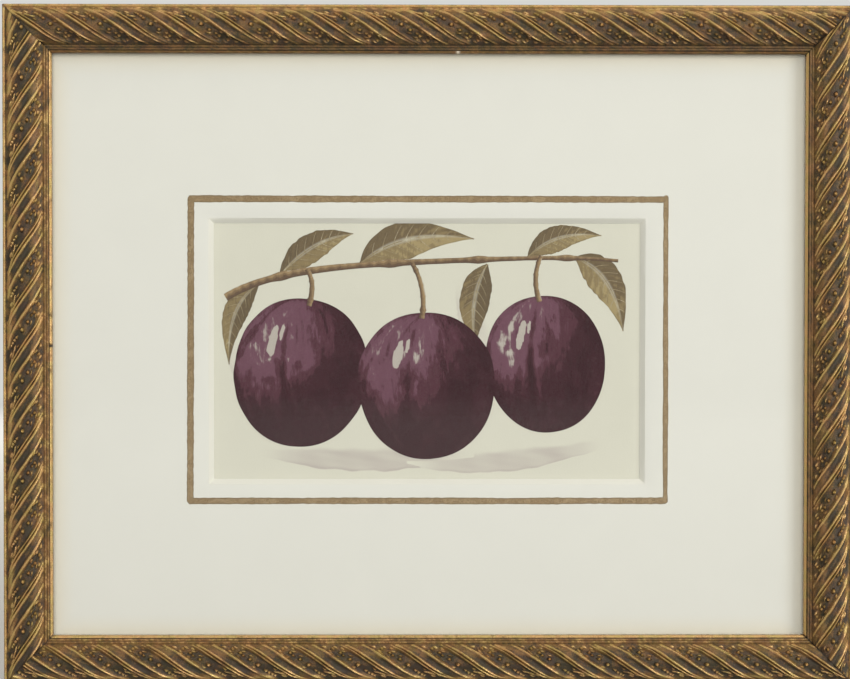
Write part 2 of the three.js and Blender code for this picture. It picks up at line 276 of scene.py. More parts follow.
class PictureColours(PropertyGroup):
    """Colours of the finishes."""

    gold: colour_prop("Gold", "Rubbed gold on rims and beads", 212, 175, 115)
    bronze: colour_prop("Bronze", "Bronze under the worn gold", 119, 89, 52)
    wash: colour_prop("Umber wash", "Dark wash in the hollows", 61, 52, 41)
    raw_wood: colour_prop("Raw wood", "Bare wood of the frame's back", 178, 142, 98)
    plaster: colour_prop("Plaster", "Pale ground that shows in a chip", 226, 216, 196)
    mat_face: colour_prop("Mat face", "Front paper of the mat board", 223, 223, 214)
    mat_core: colour_prop("Mat core", "Core of the mat board in its bevel", 226, 225, 214)
    line_gold: colour_prop("Ruled gold", "Gold paint of the ruled line", 141, 118, 83)
    line_light: colour_prop("Ruled gold, light", "Thin places of the ruled line", 168, 146, 110)
    line_dark: colour_prop("Ruled gold, dark", "Pooled places of the ruled line", 110, 92, 61)
    sheet: colour_prop("Watercolour paper", "Cream cotton paper", 212, 211, 195)
    plum_dark: colour_prop("Plum, dark", "Deep purple-brown pigment", 52, 22, 29)
    plum_middle: colour_prop("Plum, middle", "Purple-brown pigment", 74, 38, 47)
    plum_light: colour_prop("Plum, light", "Mauve pigment where the skin catches light", 112, 76, 90)
    leaf_dark: colour_prop("Leaf, dark", "Olive-brown pigment", 84, 64, 34)
    leaf_middle: colour_prop("Leaf, middle", "Olive pigment", 120, 100, 60)
    leaf_light: colour_prop("Leaf, light", "Thin olive wash", 162, 144, 98)
    twig_dark: colour_prop("Twig, dark", "Warm brown pigment", 80, 56, 40)
    twig_middle: colour_prop("Twig, middle", "Brown pigment", 110, 84, 56)
    twig_light: colour_prop("Twig, light", "Thin brown wash", 160, 134, 94)
    shade_wash: colour_prop("Shade wash", "Thin grey-violet wash under the fruit", 178, 168, 162)
    glass: colour_prop("Glass", "Tint of the picture glass", 252, 252, 251)
    board: colour_prop("Mount board", "Grey-white board behind the sheet", 216, 214, 204)
    filler: colour_prop("Filler board", "White foam board", 232, 232, 226)
    tape: colour_prop("Hinge tape", "Gummed linen tape", 228, 224, 208)
    kraft: colour_prop("Kraft paper", "Brown dust cover", 170, 132, 90)
    steel: colour_prop("Steel", "Points and V nails", 176, 178, 180)
    brass: colour_prop("Brassed steel", "Hanger and screws", 206, 172, 96)
    felt: colour_prop("Felt", "Brown felt pads", 88, 68, 52)


class StudioSettings(PropertyGroup):
    """Camera, lamps and floor."""

    lens: FloatProperty(name="Lens", description="Focal length on a 36 mm sensor", default=78.2, min=20)
    distance: length_prop("Camera distance", "From the lens to the wall hook's plane", 560)
    key_power: power_prop("Key", "Power of the lamp at the right", 17.6)
    fill_power: power_prop("Fill", "Power of the lamp in front", 22.4)
    top_power: power_prop("Top", "Power of the lamp above", 8.4)
    rear_power: power_prop("Rear", "Power of the lamp behind", 10.0)
    floor: colour_prop("Floor", "Plain pale floor", 222, 220, 214)
    air: colour_prop("Surroundings", "Pale studio behind the picture", 214, 214, 210)


def step(value, low, high):
    """Smooth step: 0 below low, 1 above high, and 3t^2 - 2t^3 between, with t the share of the way."""
    t = np.clip((value - low) / (high - low), 0, 1)
    return t * t * (3 - 2 * t)


def bump(value, centre, width):
    """A bell round a centre: e to the power of minus the squared distance over the squared width."""
    return np.exp(-(((value - centre) / width) ** 2))


def ripple(first, second, seed, waves=7):
    """An even, seeded unevenness of about -1 to 1: a sum of some sines in drawn directions.

    Each sine is sin(a * first + b * second + c), with a, b and c drawn once for the seed.
    """
    draw = np.random.default_rng(seed)
    total = 0
    for slope_a, slope_b, start in zip(
        draw.normal(size=waves), draw.normal(size=waves), draw.uniform(0, math.tau, waves)
    ):
        total = total + np.sin(slope_a * first + slope_b * second + start)
    return total / math.sqrt(waves) / 1.4


def place(x, z, height):
    """Plan coordinates as world points: (x, back - height, z) from the frame's middle."""
    x, z, height = np.broadcast_arrays(x, z, height)
    return np.stack([CENTRE_X + x, BACK_Y - height, CENTRE_Z + z], axis=-1)


def grid_faces(rows, columns, round_rows=False, round_columns=False):
    """Four-cornered faces over points numbered row by row; a round direction closes on itself."""
    i, j = np.meshgrid(
        np.arange(rows if round_rows else rows - 1),
        np.arange(columns if round_columns else columns - 1),
        indexing="ij",
    )
    k = (i + 1) % rows
    m = (j + 1) % columns
    corners = [i * columns + j, k * columns + j, k * columns + m, i * columns + m]
    return np.stack(corners, axis=-1).reshape(-1, 4)


def enclosed(points, faces):
    """Signed volume inside closed faces: the sum over each face's fan of a . (b x c) / 6."""
    volume = 0.0
    for block in faces:
        first = points[block[:, 0]]
        for i in range(1, block.shape[1] - 1):
            crossed = np.cross(points[block[:, i]], points[block[:, i + 1]])
            volume += np.einsum("ij,ij->", first, crossed) / 6
    return volume


def outward(points, faces):
    """The same faces, turned round where they would enclose a negative volume."""
    faces = [np.atleast_2d(block) for block in faces]
    if enclosed(points - points.mean(axis=0), faces) < 0:
        return [block[:, ::-1] for block in faces]
    return faces


def end_faces(rows, columns):
    """The flat faces over the first and the last of so many rings."""
    return [np.arange(columns), ((rows - 1) * columns + np.arange(columns))[::-1]]


def tube(rings, closed=False):
    """A closed skin over rings of points: each joins the next, and a flat face covers either end.

    A closed tube comes back to its first ring and has no end faces.
    """
    rows, columns = rings.shape[:2]
    points = rings.reshape(-1, 3)
    ends = [] if closed else end_faces(rows, columns)
    return points, outward(points, [grid_faces(rows, columns, closed, True), *ends])


def join(parts):
    """Several closed skins as one: points, faces and point values laid one after another."""
    points, faces, values, start = [], [], {}, 0
    for part_points, part_faces, part_values in parts:
        points.append(part_points)
        faces += [block + start for block in part_faces]
        for name, numbers in part_values.items():
            values.setdefault(name, []).append(np.broadcast_to(numbers, len(part_points)))
        start += len(part_points)
    return np.concatenate(points), faces, {name: np.concatenate(v) for name, v in values.items()}


def add_piece(name, skin, material, replaces=(), sharp=40):
    """Puts a closed skin into a mesh object that rides on the frame.

    The skin is points and faces, and may have point values, which become the mesh's attributes.
    """
    points, faces, *values = skin
    mesh = bpy.data.meshes.new(name)
    corners = np.concatenate([block.ravel() for block in faces])
    sizes = np.concatenate([np.full(len(block), block.shape[1]) for block in faces])
    mesh.vertices.add(len(points))
    mesh.vertices.foreach_set("co", np.asarray(points, np.float32).ravel())
    mesh.loops.add(len(corners))
    mesh.loops.foreach_set("vertex_index", corners.astype(np.int32))
    mesh.polygons.add(len(sizes))
    mesh.polygons.foreach_set("loop_start", (np.cumsum(sizes) - sizes).astype(np.int32))
    mesh.polygons.foreach_set("use_smooth", np.ones(len(sizes), bool))
    mesh.update(calc_edges=True)
    mesh.validate()
    for key, numbers in (values[0] if values else {}).items():
        layer = mesh.attributes.new(key, "FLOAT", "POINT")
        layer.data.foreach_set("value", np.asarray(numbers, np.float32))
    mesh.set_sharp_from_angle(angle=math.radians(sharp))
    mount(name, mesh, material, replaces)


def mount(name, mesh, material, replaces):
    """Makes a mesh a finished piece of the part, in place of the CAD nodes it stands for."""
    mesh.materials.append(material)
    piece = bpy.data.objects.new(name, mesh)
    bpy.context.scene.collection.objects.link(piece)
    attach(piece, "root")
    if replaces:
        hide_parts(*replaces)
    return piece


def finish_nodes(nodes, material):
    """Gives CAD nodes that stay as they are their finish."""
    for node in nodes:
        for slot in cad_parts[node].material_slots:
            slot.material = material


def connect(tree, node, inputs):
    """Joins each of these inputs of a node to a socket, or sets it to a plain value."""
    for key, value in inputs.items():
        if isinstance(value, bpy.types.NodeSocket):
            tree.links.new(value, node.inputs[key])
        else:
            node.inputs[key].default_value = value


def add_node(tree, kind, inputs=None, **settings):
    """A new node with its settings and its inputs."""
    made = tree.nodes.new(kind)
    for key, value in settings.items():
        setattr(made, key, value)
    connect(tree, made, inputs or {})
    return made


def calculate(tree, operation, first, second):
    """One Math node."""
    return add_node(tree, "ShaderNodeMath", {0: first, 1: second}, operation=operation).outputs[0]


def around(tree, value, amount):
    """Noise as a swing to either side of nothing: (value - 0.5) * amount."""
    return calculate(tree, "MULTIPLY", calculate(tree, "SUBTRACT", value, 0.5), amount)


def blend(tree, share, first, second, mode="MIX"):
    """One Mix node on colours."""
    inputs = {0: share, 6: first, 7: second}
    return add_node(tree, "ShaderNodeMix", inputs, data_type="RGBA", blend_type=mode).outputs[2]


def tinted(tree, colour, red, green, blue):
    """A colour multiplied by a plain tint."""
    return blend(tree, 1.0, colour, (red, green, blue, 1), "MULTIPLY")


def spread(tree, value, low, high, to_low=0.0, to_high=1.0):
    """One smooth Map Range node."""
    inputs = {"Value": value, "From Min": low, "From Max": high, "To Min": to_low, "To Max": to_high}
    return add_node(tree, "ShaderNodeMapRange", inputs, interpolation_type="SMOOTHSTEP").outputs[0]


def object_place(tree, stretch=(1, 1, 1)):
    """Object coordinates in metres, stretched where a grain runs one way."""
    source = add_node(tree, "ShaderNodeTexCoord").outputs["Object"]
    if stretch == (1, 1, 1):
        return source
    return add_node(tree, "ShaderNodeMapping", {"Vector": source, "Scale": stretch}).outputs[0]


def noise(tree, vector, size, detail, roughness=0.55, distortion=0.0):
    """Noise whose features are about this large, in metres."""
    return add_node(tree, "ShaderNodeTexNoise", {
        "Vector": vector, "Scale": 1 / size, "Detail": detail, "Roughness": roughness,
        "Distortion": distortion,
    }).outputs[0]


def relief_normal(tree, height, depth, strength=1.0):
    """A Bump node for a relief of this depth, in metres."""
    inputs = {"Strength": strength, "Distance": depth, "Height": height}
    return add_node(tree, "ShaderNodeBump", inputs).outputs[0]


def attribute(tree, name):
    """The piece's own point values."""
    return add_node(tree, "ShaderNodeAttribute", attribute_name=name).outputs["Fac"]


def new_group(name, inputs, outputs):
    """A shader node group, what it is given and its output node; sockets are (name, kind) pairs."""
    group = bpy.data.node_groups.new(name, "ShaderNodeTree")
    for direction, sockets in (("INPUT", inputs), ("OUTPUT", outputs)):
        for label, kind in sockets:
            group.interface.new_socket(name=label, in_out=direction, socket_type=f"NodeSocket{kind}")
    return group, group.nodes.new("NodeGroupInput").outputs, group.nodes.new("NodeGroupOutput")


def gilding_group(name):
    """Gold rubbed over bronze and a dark wash: the gilding value, broken by fine and patchy noise."""
    inputs = [("Gilding", "Float"), ("Gold", "Color"), ("Bronze", "Color"), ("Wash", "Color")]
    outputs = [("Color", "Color"), ("Roughness", "Float"), ("Metal", "Float"), ("Normal", "Vector")]
    tree, given, out = new_group(name, inputs, outputs)
    where = object_place(tree)
    patches = noise(tree, where, 2.6 * MM, 4)
    specks = noise(tree, where, 0.35 * MM, 3)
    speckled = around(tree, specks, 0.75)
    uneven = calculate(tree, "ADD", around(tree, patches, 0.62), speckled)
    worn = calculate(tree, "ADD", given["Gilding"], uneven)
    ground = blend(tree, spread(tree, worn, 0.06, 0.46), given["Wash"], given["Bronze"])
    colour = blend(tree, spread(tree, worn, 0.45, 0.88), ground, given["Gold"])
    tone = noise(tree, where, 3.2 * MM, 3)
    tint = noise(tree, where, 1.3 * MM, 2)
    warm = blend(tree, spread(tree, tone, 0.36, 0.64), (0.86, 0.94, 0.78, 1), (1.0, 0.89, 0.88, 1))
    warm = blend(tree, spread(tree, tint, 0.45, 0.7, 0.0, 0.6), warm, (1.0, 0.99, 0.97, 1))
    connect(tree, out, {
        "Color": blend(tree, 1.0, colour, warm, "MULTIPLY"),
        "Roughness": spread(tree, calculate(tree, "SUBTRACT", worn, speckled), 0.1, 0.95, 0.62, 0.24),
        "Metal": spread(tree, worn, 0.35, 0.85, 0.0, 0.4),
        "Normal": relief_normal(tree, calculate(tree, "ADD", specks, patches), 0.13 * MM),
    })
    return tree


def fibre_group(name):
    """Paper or board: a faint mottle of the colour and a fine tooth in the surface."""
    inputs = [("Paper", "Color"), ("Mottle", "Float"), ("Tooth", "Float")]
    tree, given, out = new_group(name, inputs, [("Color", "Color"), ("Normal", "Vector")])
    where = object_place(tree)
    clouds = around(tree, noise(tree, where, 14 * MM, 3), given["Mottle"])
    fibres = noise(tree, where, 0.5 * MM, 5, 0.65, 0.6)
    mottle = calculate(tree, "ADD", around(tree, fibres, given["Mottle"]), clouds)
    level = calculate(tree, "ADD", 1.0, mottle)
    grey = add_node(tree, "ShaderNodeCombineColor", {0: level, 1: level, 2: level}).outputs[0]
    tooth = calculate(tree, "MULTIPLY", fibres, given["Tooth"])
    connect(tree, out, {
        "Color": blend(tree, 1.0, given["Paper"], grey, "MULTIPLY"),
        "Normal": relief_normal(tree, tooth, 0.05 * MM),
    })
    return tree


def wash_group(name):
    """A watercolour wash in three glazes: each starts at a firm, darker edge where the tone rises.

    Granulation and thin places let the paper show through, and pigment pools along the outline.
    """
    inputs = [("Light", "Color"), ("Middle", "Color"), ("Dark", "Color"), ("Paper", "Color"),
              ("Tone", "Float"), ("Edge", "Float"), ("Cover", "Float")]
    tree, given, out = new_group(name, inputs, [("Color", "Color")])
    where = object_place(tree)
    pools = noise(tree, where, 8 * MM, 4, 0.6, 1.0)
    streaks = noise(tree, object_place(tree, (1.0, 1.0, 0.4)), 1.7 * MM, 5, 0.6, 0.6)
    hairs = noise(tree, object_place(tree, (1.0, 1.0, 0.14)), 0.5 * MM, 3, 0.6, 0.4)
    grains = noise(tree, where, 0.32 * MM, 3, 0.7)
    tone = given["Tone"]
    for pattern, strength in ((pools, 0.5), (streaks, 0.42), (hairs, 0.3)):
        tone = calculate(tree, "ADD", tone, around(tree, pattern, strength))
    deep = tinted(tree, given["Dark"], 0.62, 0.6, 0.66)
    colour = blend(tree, spread(tree, tone, 0.0, 0.16, 0.4, 1.0), given["Paper"], given["Light"])
    colour = blend(tree, spread(tree, tone, 0.0, 0.5, 0.0, 0.3), colour, given["Middle"])
    glazes = ((0.36, 0.72, given["Middle"]), (0.58, 0.7, given["Dark"]), (0.86, 0.5, deep))
    for level, strength, pigment in glazes:
        colour = blend(tree, spread(tree, tone, level, level + 0.11, 0.0, strength), colour, pigment)
        rise = spread(tree, tone, level - 0.01, level + 0.04, 0.0, 0.16)
        fall = spread(tree, tone, level + 0.03, level + 0.09, 1.0, 0.0)
        colour = blend(tree, calculate(tree, "MULTIPLY", rise, fall), colour, given["Dark"])
    colour = blend(tree, spread(tree, tone, 0.3, 1.0, 0.0, 0.35), colour, given["Dark"])
    rim = spread(tree, given["Edge"], 0.05 * MM, 0.5 * MM, 0.5, 0.0)
    broken = calculate(tree, "MULTIPLY", rim, spread(tree, pools, 0.35, 0.6, 0.3, 1.0))
    pooled = blend(tree, broken, colour, given["Dark"])
    grained = blend(tree, spread(tree, grains, 0.5, 0.76, 0.0, 0.06), pooled, given["Paper"])
    connect(tree, out, {"Color": blend(tree, given["Cover"], given["Paper"], grained)})
    return tree


def metal_group(name):
    """Rolled metal: fine streaks along the strip, small stains, and a roughness that follows them."""
    inputs = [("Metal", "Color"), ("Stain", "Color")]
    outputs = [("Color", "Color"), ("Roughness", "Float"), ("Normal", "Vector")]
    tree, given, out = new_group(name, inputs, outputs)
    streaks = noise(tree, object_place(tree, (0.08, 1.0, 1.0)), 0.12 * MM, 3)
    stains = noise(tree, object_place(tree), 1.8 * MM, 4, 0.6)
    connect(tree, out, {
        "Color": blend(tree, spread(tree, stains, 0.55, 0.8, 0.0, 0.6), given["Metal"], given["Stain"]),
        "Roughness": spread(tree, stains, 0.35, 0.75, 0.28, 0.5),
        "Normal": relief_normal(tree, streaks, 0.01 * MM, 0.6),
    })
    return tree


def use_group(tree, name, build, inputs):
    """Places a shared effect in a material; its node group is built the first time it is used."""
    group = bpy.data.node_groups.get(name) or build(name)
    return add_node(tree, "ShaderNodeGroup", inputs, node_tree=group).outputs


def paper_fibre(tree, paper, mottle, tooth):
    """The paper effect in a material."""
    inputs = {"Paper": paper, "Mottle": mottle, "Tooth": tooth}
    return use_group(tree, "Paper fibre", fibre_group, inputs)


def empty_tree(owner):
    """The emptied node tree of a material or a world."""
    owner.use_nodes = True
    owner.node_tree.nodes.clear()
    return owner.node_tree


def start_material(name):
    """An empty node material, with its Principled shader joined to the output."""
    material = bpy.data.materials.new(name)
    tree = empty_tree(material)
    shader = add_node(tree, "ShaderNodeBsdfPrincipled")
    add_node(tree, "ShaderNodeOutputMaterial", {"Surface": shader.outputs[0]})
    return material, tree, shader


def gilt_material(colours):
    """Gold, bronze and umber on the front, bare wood on the back, and pale plaster in a chip."""
    material, tree, shader = start_material("gilt_rope_moulding")
    gilt = use_group(tree, "Rubbed gilding", gilding_group, {
        "Gilding": attribute(tree, "gilding"), "Gold": colours.gold[:],
        "Bronze": colours.bronze[:], "Wash": colours.wash[:],
    })
    grain = noise(tree, object_place(tree, (0.25, 1.0, 1.0)), 0.8 * MM, 5, 0.6, 0.4)
    dark = tinted(tree, colours.raw_wood[:], 0.52, 0.42, 0.34)
    wood = blend(tree, spread(tree, grain, 0.3, 0.75), colours.raw_wood[:], dark)
    bare = attribute(tree, "bare_wood")
    chip = attribute(tree, "chip")
    gilt_left = calculate(tree, "SUBTRACT", 1.0, calculate(tree, "MAXIMUM", bare, chip))
    colour = blend(tree, bare, gilt["Color"], wood)
    connect(tree, shader, {
        "Base Color": blend(tree, chip, colour, colours.plaster[:]),
        "Metallic": calculate(tree, "MULTIPLY", gilt["Metal"], gilt_left),
        "Roughness": blend(tree, bare, gilt["Roughness"], (0.8, 0.8, 0.8, 1)),
        "Normal": gilt["Normal"],
    })
    return material


def paper_material(name, colour, mottle, tooth, roughness=0.9):
    """A plain paper or board."""
    material, tree, shader = start_material(name)
    fibre = paper_fibre(tree, colour[:], mottle, tooth)
    connect(tree, shader, {
        "Base Color": fibre["Color"], "Normal": fibre["Normal"], "Roughness": roughness,
        "Specular IOR Level": 0.25,
    })
    return material


def mat_material(colours):
    """Mat board: a smooth face, painted warmer beside the moulding as its gilding's reflection, and a whiter
    bevel core.
    """
    material, tree, shader = start_material("mat_board")
    board = blend(tree, attribute(tree, "core"), colours.mat_face[:], colours.mat_core[:])
    # The gilding's warm reflection, painted into the board's colour beside the lip.
    warm = tinted(tree, board, 1.0, 0.94, 0.83)
    fibre = paper_fibre(tree, blend(tree, attribute(tree, "toned"), board, warm), 0.035, 0.35)
    connect(tree, shader, {
        "Base Color": fibre["Color"], "Normal": fibre["Normal"], "Roughness": 0.88,
        "Specular IOR Level": 0.25,
    })
    return material


def line_material(colours):
    """Gold gouache ruled by hand: mottled, thin in places and pooled along the edges."""
    material, tree, shader = start_material("ruled_gold")
    gold, light, dark = (c[:] for c in (colours.line_gold, colours.line_light, colours.line_dark))
    where = object_place(tree)
    blots = noise(tree, where, 3.2 * MM, 4, 0.6, 0.8)
    specks = noise(tree, where, 0.45 * MM, 3, 0.6)
    colour = blend(tree, spread(tree, blots, 0.42, 0.68), gold, light)
    pooled = spread(tree, attribute(tree, "edge"), 0.05 * MM, 0.4 * MM, 0.75, 0.0)
    colour = blend(tree, pooled, colour, dark)
    colour = blend(tree, spread(tree, specks, 0.53, 0.68, 0.0, 0.75), colour, dark)
    colour = blend(tree, spread(tree, specks, 0.3, 0.47, 0.8, 0.0), colour, light)
    connect(tree, shader, {
        "Base Color": colour, "Metallic": spread(tree, blots, 0.3, 0.7, 0.1, 0.3), "Roughness": 0.55,
        "Normal": relief_normal(tree, specks, 0.03 * MM, 0.6),
    })
    return material


def wash_material(name, colours, light, middle, dark):
    """A watercolour pigment on the cream sheet, read from the stroke's own values."""
    material, tree, shader = start_material(name)
    fibre = paper_fibre(tree, colours.sheet[:], 0.06, 1.0)
    wash = use_group(tree, "Watercolour wash", wash_group, {
        "Light": light[:], "Middle": middle[:], "Dark": dark[:], "Paper": fibre["Color"],
        "Tone": attribute(tree, "tone"), "Edge": attribute(tree, "edge"),
        "Cover": attribute(tree, "cover"),
    })
    connect(tree, shader, {
        "Base Color": wash["Color"], "Normal": fibre["Normal"], "Roughness": 0.9,
        "Specular IOR Level": 0.05,
    })
    return material


def glass_material(colours):
    """Clear picture glass that lets the lamps' light straight through."""
    material = bpy.data.materials.new("picture_glass")
    tree = empty_tree(material)
    surface = add_node(tree, "ShaderNodeBsdfPrincipled", {
        "Base Color": colours.glass[:], "Roughness": 0.0, "IOR": 1.5, "Transmission Weight": 1.0,
    }).outputs[0]
    clear = add_node(tree, "ShaderNodeBsdfTransparent", {"Color": (0.955, 0.955, 0.955, 1)}).outputs[0]
    rays = add_node(tree, "ShaderNodeLightPath").outputs
    for kind in ("Is Diffuse Ray", "Is Shadow Ray"):
        surface = add_node(tree, "ShaderNodeMixShader", {0: rays[kind], 1: surface, 2: clear}).outputs[0]
    add_node(tree, "ShaderNodeOutputMaterial", {"Surface": surface})
    return material


def metal_material(name, colour, stain):
    """Rolled or plated steel."""
    material, tree, shader = start_material(name)
    metal = use_group(tree, "Rolled metal", metal_group, {"Metal": colour[:], "Stain": stain})
    connect(tree, shader, {
        "Base Color": metal["Color"], "Roughness": metal["Roughness"], "Normal": metal["Normal"],
        "Metallic": 1.0,
    })
    return material


def kraft_material(colours):
    """Kraft paper: long fibres, darker flecks and a soft tooth."""
    material, tree, shader = start_material("kraft_paper")
    fibre = paper_fibre(tree, colours.kraft[:], 0.16, 1.2)
    lines = noise(tree, object_place(tree, (0.3, 1.0, 1.0)), 0.7 * MM, 4, 0.6, 0.5)
    flecks = spread(tree, lines, 0.62, 0.76, 0.0, 0.45)
    dark = tinted(tree, colours.kraft[:], 0.62, 0.55, 0.5)
    connect(tree, shader, {
        "Base Color": blend(tree, flecks, fibre["Color"], dark), "Normal": fibre["Normal"],
        "Roughness": 0.85, "Specular IOR Level": 0.3,
    })
    return material


def floor_material(studio):
    """A plain pale floor that fades into the pale surroundings far from the picture."""
    material, tree, shader = start_material("pale_floor")
    fibre = paper_fibre(tree, studio.floor[:], 0.02, 0.2)
    inputs = {0: object_place(tree), 1: (0, 0, 0)}
    away = add_node(tree, "ShaderNodeVectorMath", inputs, operation="DISTANCE").outputs["Value"]
    connect(tree, shader, {
        "Base Color": fibre["Color"], "Normal": fibre["Normal"], "Roughness": 0.8,
        "Alpha": spread(tree, away, 0.45, 1.9, 1.0, 0.0),
    })
    return material


def felt_material(colours):
    """Pressed felt: matted hairs at two scales with a soft sheen."""
    material, tree, shader = start_material("felt")
    where = object_place(tree)
    hairs = noise(tree, where, 0.22 * MM, 5, 0.7, 1.5)
    tufts = noise(tree, where, 1.1 * MM, 3, 0.6)
    pale = tinted(tree, colours.felt[:], 1.9, 1.8, 1.7)
    connect(tree, shader, {
        "Base Color": blend(tree, spread(tree, hairs, 0.35, 0.7), colours.felt[:], pale),
        "Normal": relief_normal(tree, calculate(tree, "ADD", hairs, tufts), 0.25 * MM),
        "Roughness": 0.95, "Sheen Weight": 0.4, "Sheen Roughness": 0.5,
    })
    return material


def moulding_section():
    """The moulding's outline from the back's outer corner, round the front and home along the back.

    Columns: place across, height, turn on the rope's circle, gilding, bare wood, chip share, and
    whether the column is on the rope. Off the rope the turn only leans the grid with the strands.
    """
    ease = 0.12 * MM
    turns = np.linspace(-ROPE_TURN, ROPE_TURN, 60)
    half = np.linspace(math.pi, 0, 7)
    reed = np.linspace(math.radians(165), math.radians(15), 5)

    def run(points, turn, gilding, bare=0.0, chip=0.0, rope=0.0):
        points = np.array(points, float).reshape(-1, 2)
        rest = [np.broadcast_to(v, len(points)) for v in (turn, gilding, bare, chip, rope)]
        return np.column_stack([points, *rest])

    side = [(ease, 0), (0, ease), *((0, h * MM) for h in (3.4, 6.8, 10.2, 12.6))]
    fillet = np.column_stack([
        FILLET_WIDTH / 2 * (1 + np.cos(half)), FILLET_HEIGHT - 0.34 * MM + 0.38 * MM * np.sin(half)
    ])
    groove = [(0.93 * MM, 13.05 * MM), (1.12 * MM, 13.02 * MM)]
    rope = np.column_stack([
        ROPE_MIDDLE + ROPE_RADIUS * np.sin(turns), ROPE_AXIS + ROPE_RADIUS * np.cos(turns)
    ])
    reeds = [
        np.column_stack([middle + REED_RADIUS * np.cos(reed), REED_HEIGHT + REED_RISE * np.sin(reed)])
        for middle in REEDS
    ]
    notch = [(SIGHT_START - 0.03 * MM, SIGHT_HEIGHT - 0.5 * MM), (SIGHT_START, SIGHT_HEIGHT - 0.12 * MM)]
    sight = [
        (SIGHT_START + 0.08 * MM, SIGHT_HEIGHT), (SIGHT_START + 0.3 * MM, SIGHT_HEIGHT - 0.04 * MM),
        (MOULDING_WIDTH - 0.16 * MM, SIGHT_EDGE + 0.2 * MM), (MOULDING_WIDTH - 0.03 * MM, SIGHT_EDGE),
        (MOULDING_WIDTH, SIGHT_EDGE - 0.14 * MM),
    ]
    lip = [(MOULDING_WIDTH, 11.0 * MM), (MOULDING_WIDTH, RABBET_DEPTH)]
    rabbet = [(12.4 * MM, RABBET_DEPTH), (RABBET_WALL, RABBET_DEPTH), (RABBET_WALL, 5 * MM)]
    back = [(RABBET_WALL, ease), (RABBET_WALL - ease, 0), (7.3 * MM, 0), (3.7 * MM, 0)]
    home = np.linspace(ROPE_TURN, -ROPE_TURN, len(rabbet) + len(back) + 1)[1:]
    return np.concatenate([
        run(side, -ROPE_TURN, 0.3), run(fillet, -ROPE_TURN, 0.38 + 0.42 * np.sin(half)),
        run(groove, -ROPE_TURN, 0.2), run(rope, turns, 0.0, rope=1.0),
        run([(11.87 * MM, 12.78 * MM)], ROPE_TURN, 0.3),
        run(reeds[0], ROPE_TURN, 0.3 + 0.25 * np.sin(reed)),
        run([(12.625 * MM, 12.56 * MM)], ROPE_TURN, 0.16),
        run(reeds[1], ROPE_TURN, 0.26 + 0.28 * np.sin(reed)),
        run(notch, ROPE_TURN, (0.02, 0.3)), run(sight, ROPE_TURN, 0.85, chip=1.0),
        run(lip, ROPE_TURN, 0.5, chip=0.5), run(rabbet, home[:3], 0.0, 1.0),
        run(back, home[3:7], 0.0, 1.0),
    ])


def carving_rows():
    """Rows of one repeat as shares of it: close together at rims and beads, wide apart on slopes."""
    return np.concatenate([
        np.linspace(-0.036, 0.036, 9), np.linspace(0.055, 0.285, 9), np.linspace(0.3, 0.46, 17),
        np.linspace(0.485, 0.64, 7), np.linspace(0.655, 0.84, 14), np.linspace(0.865, 0.94, 4),
    ])


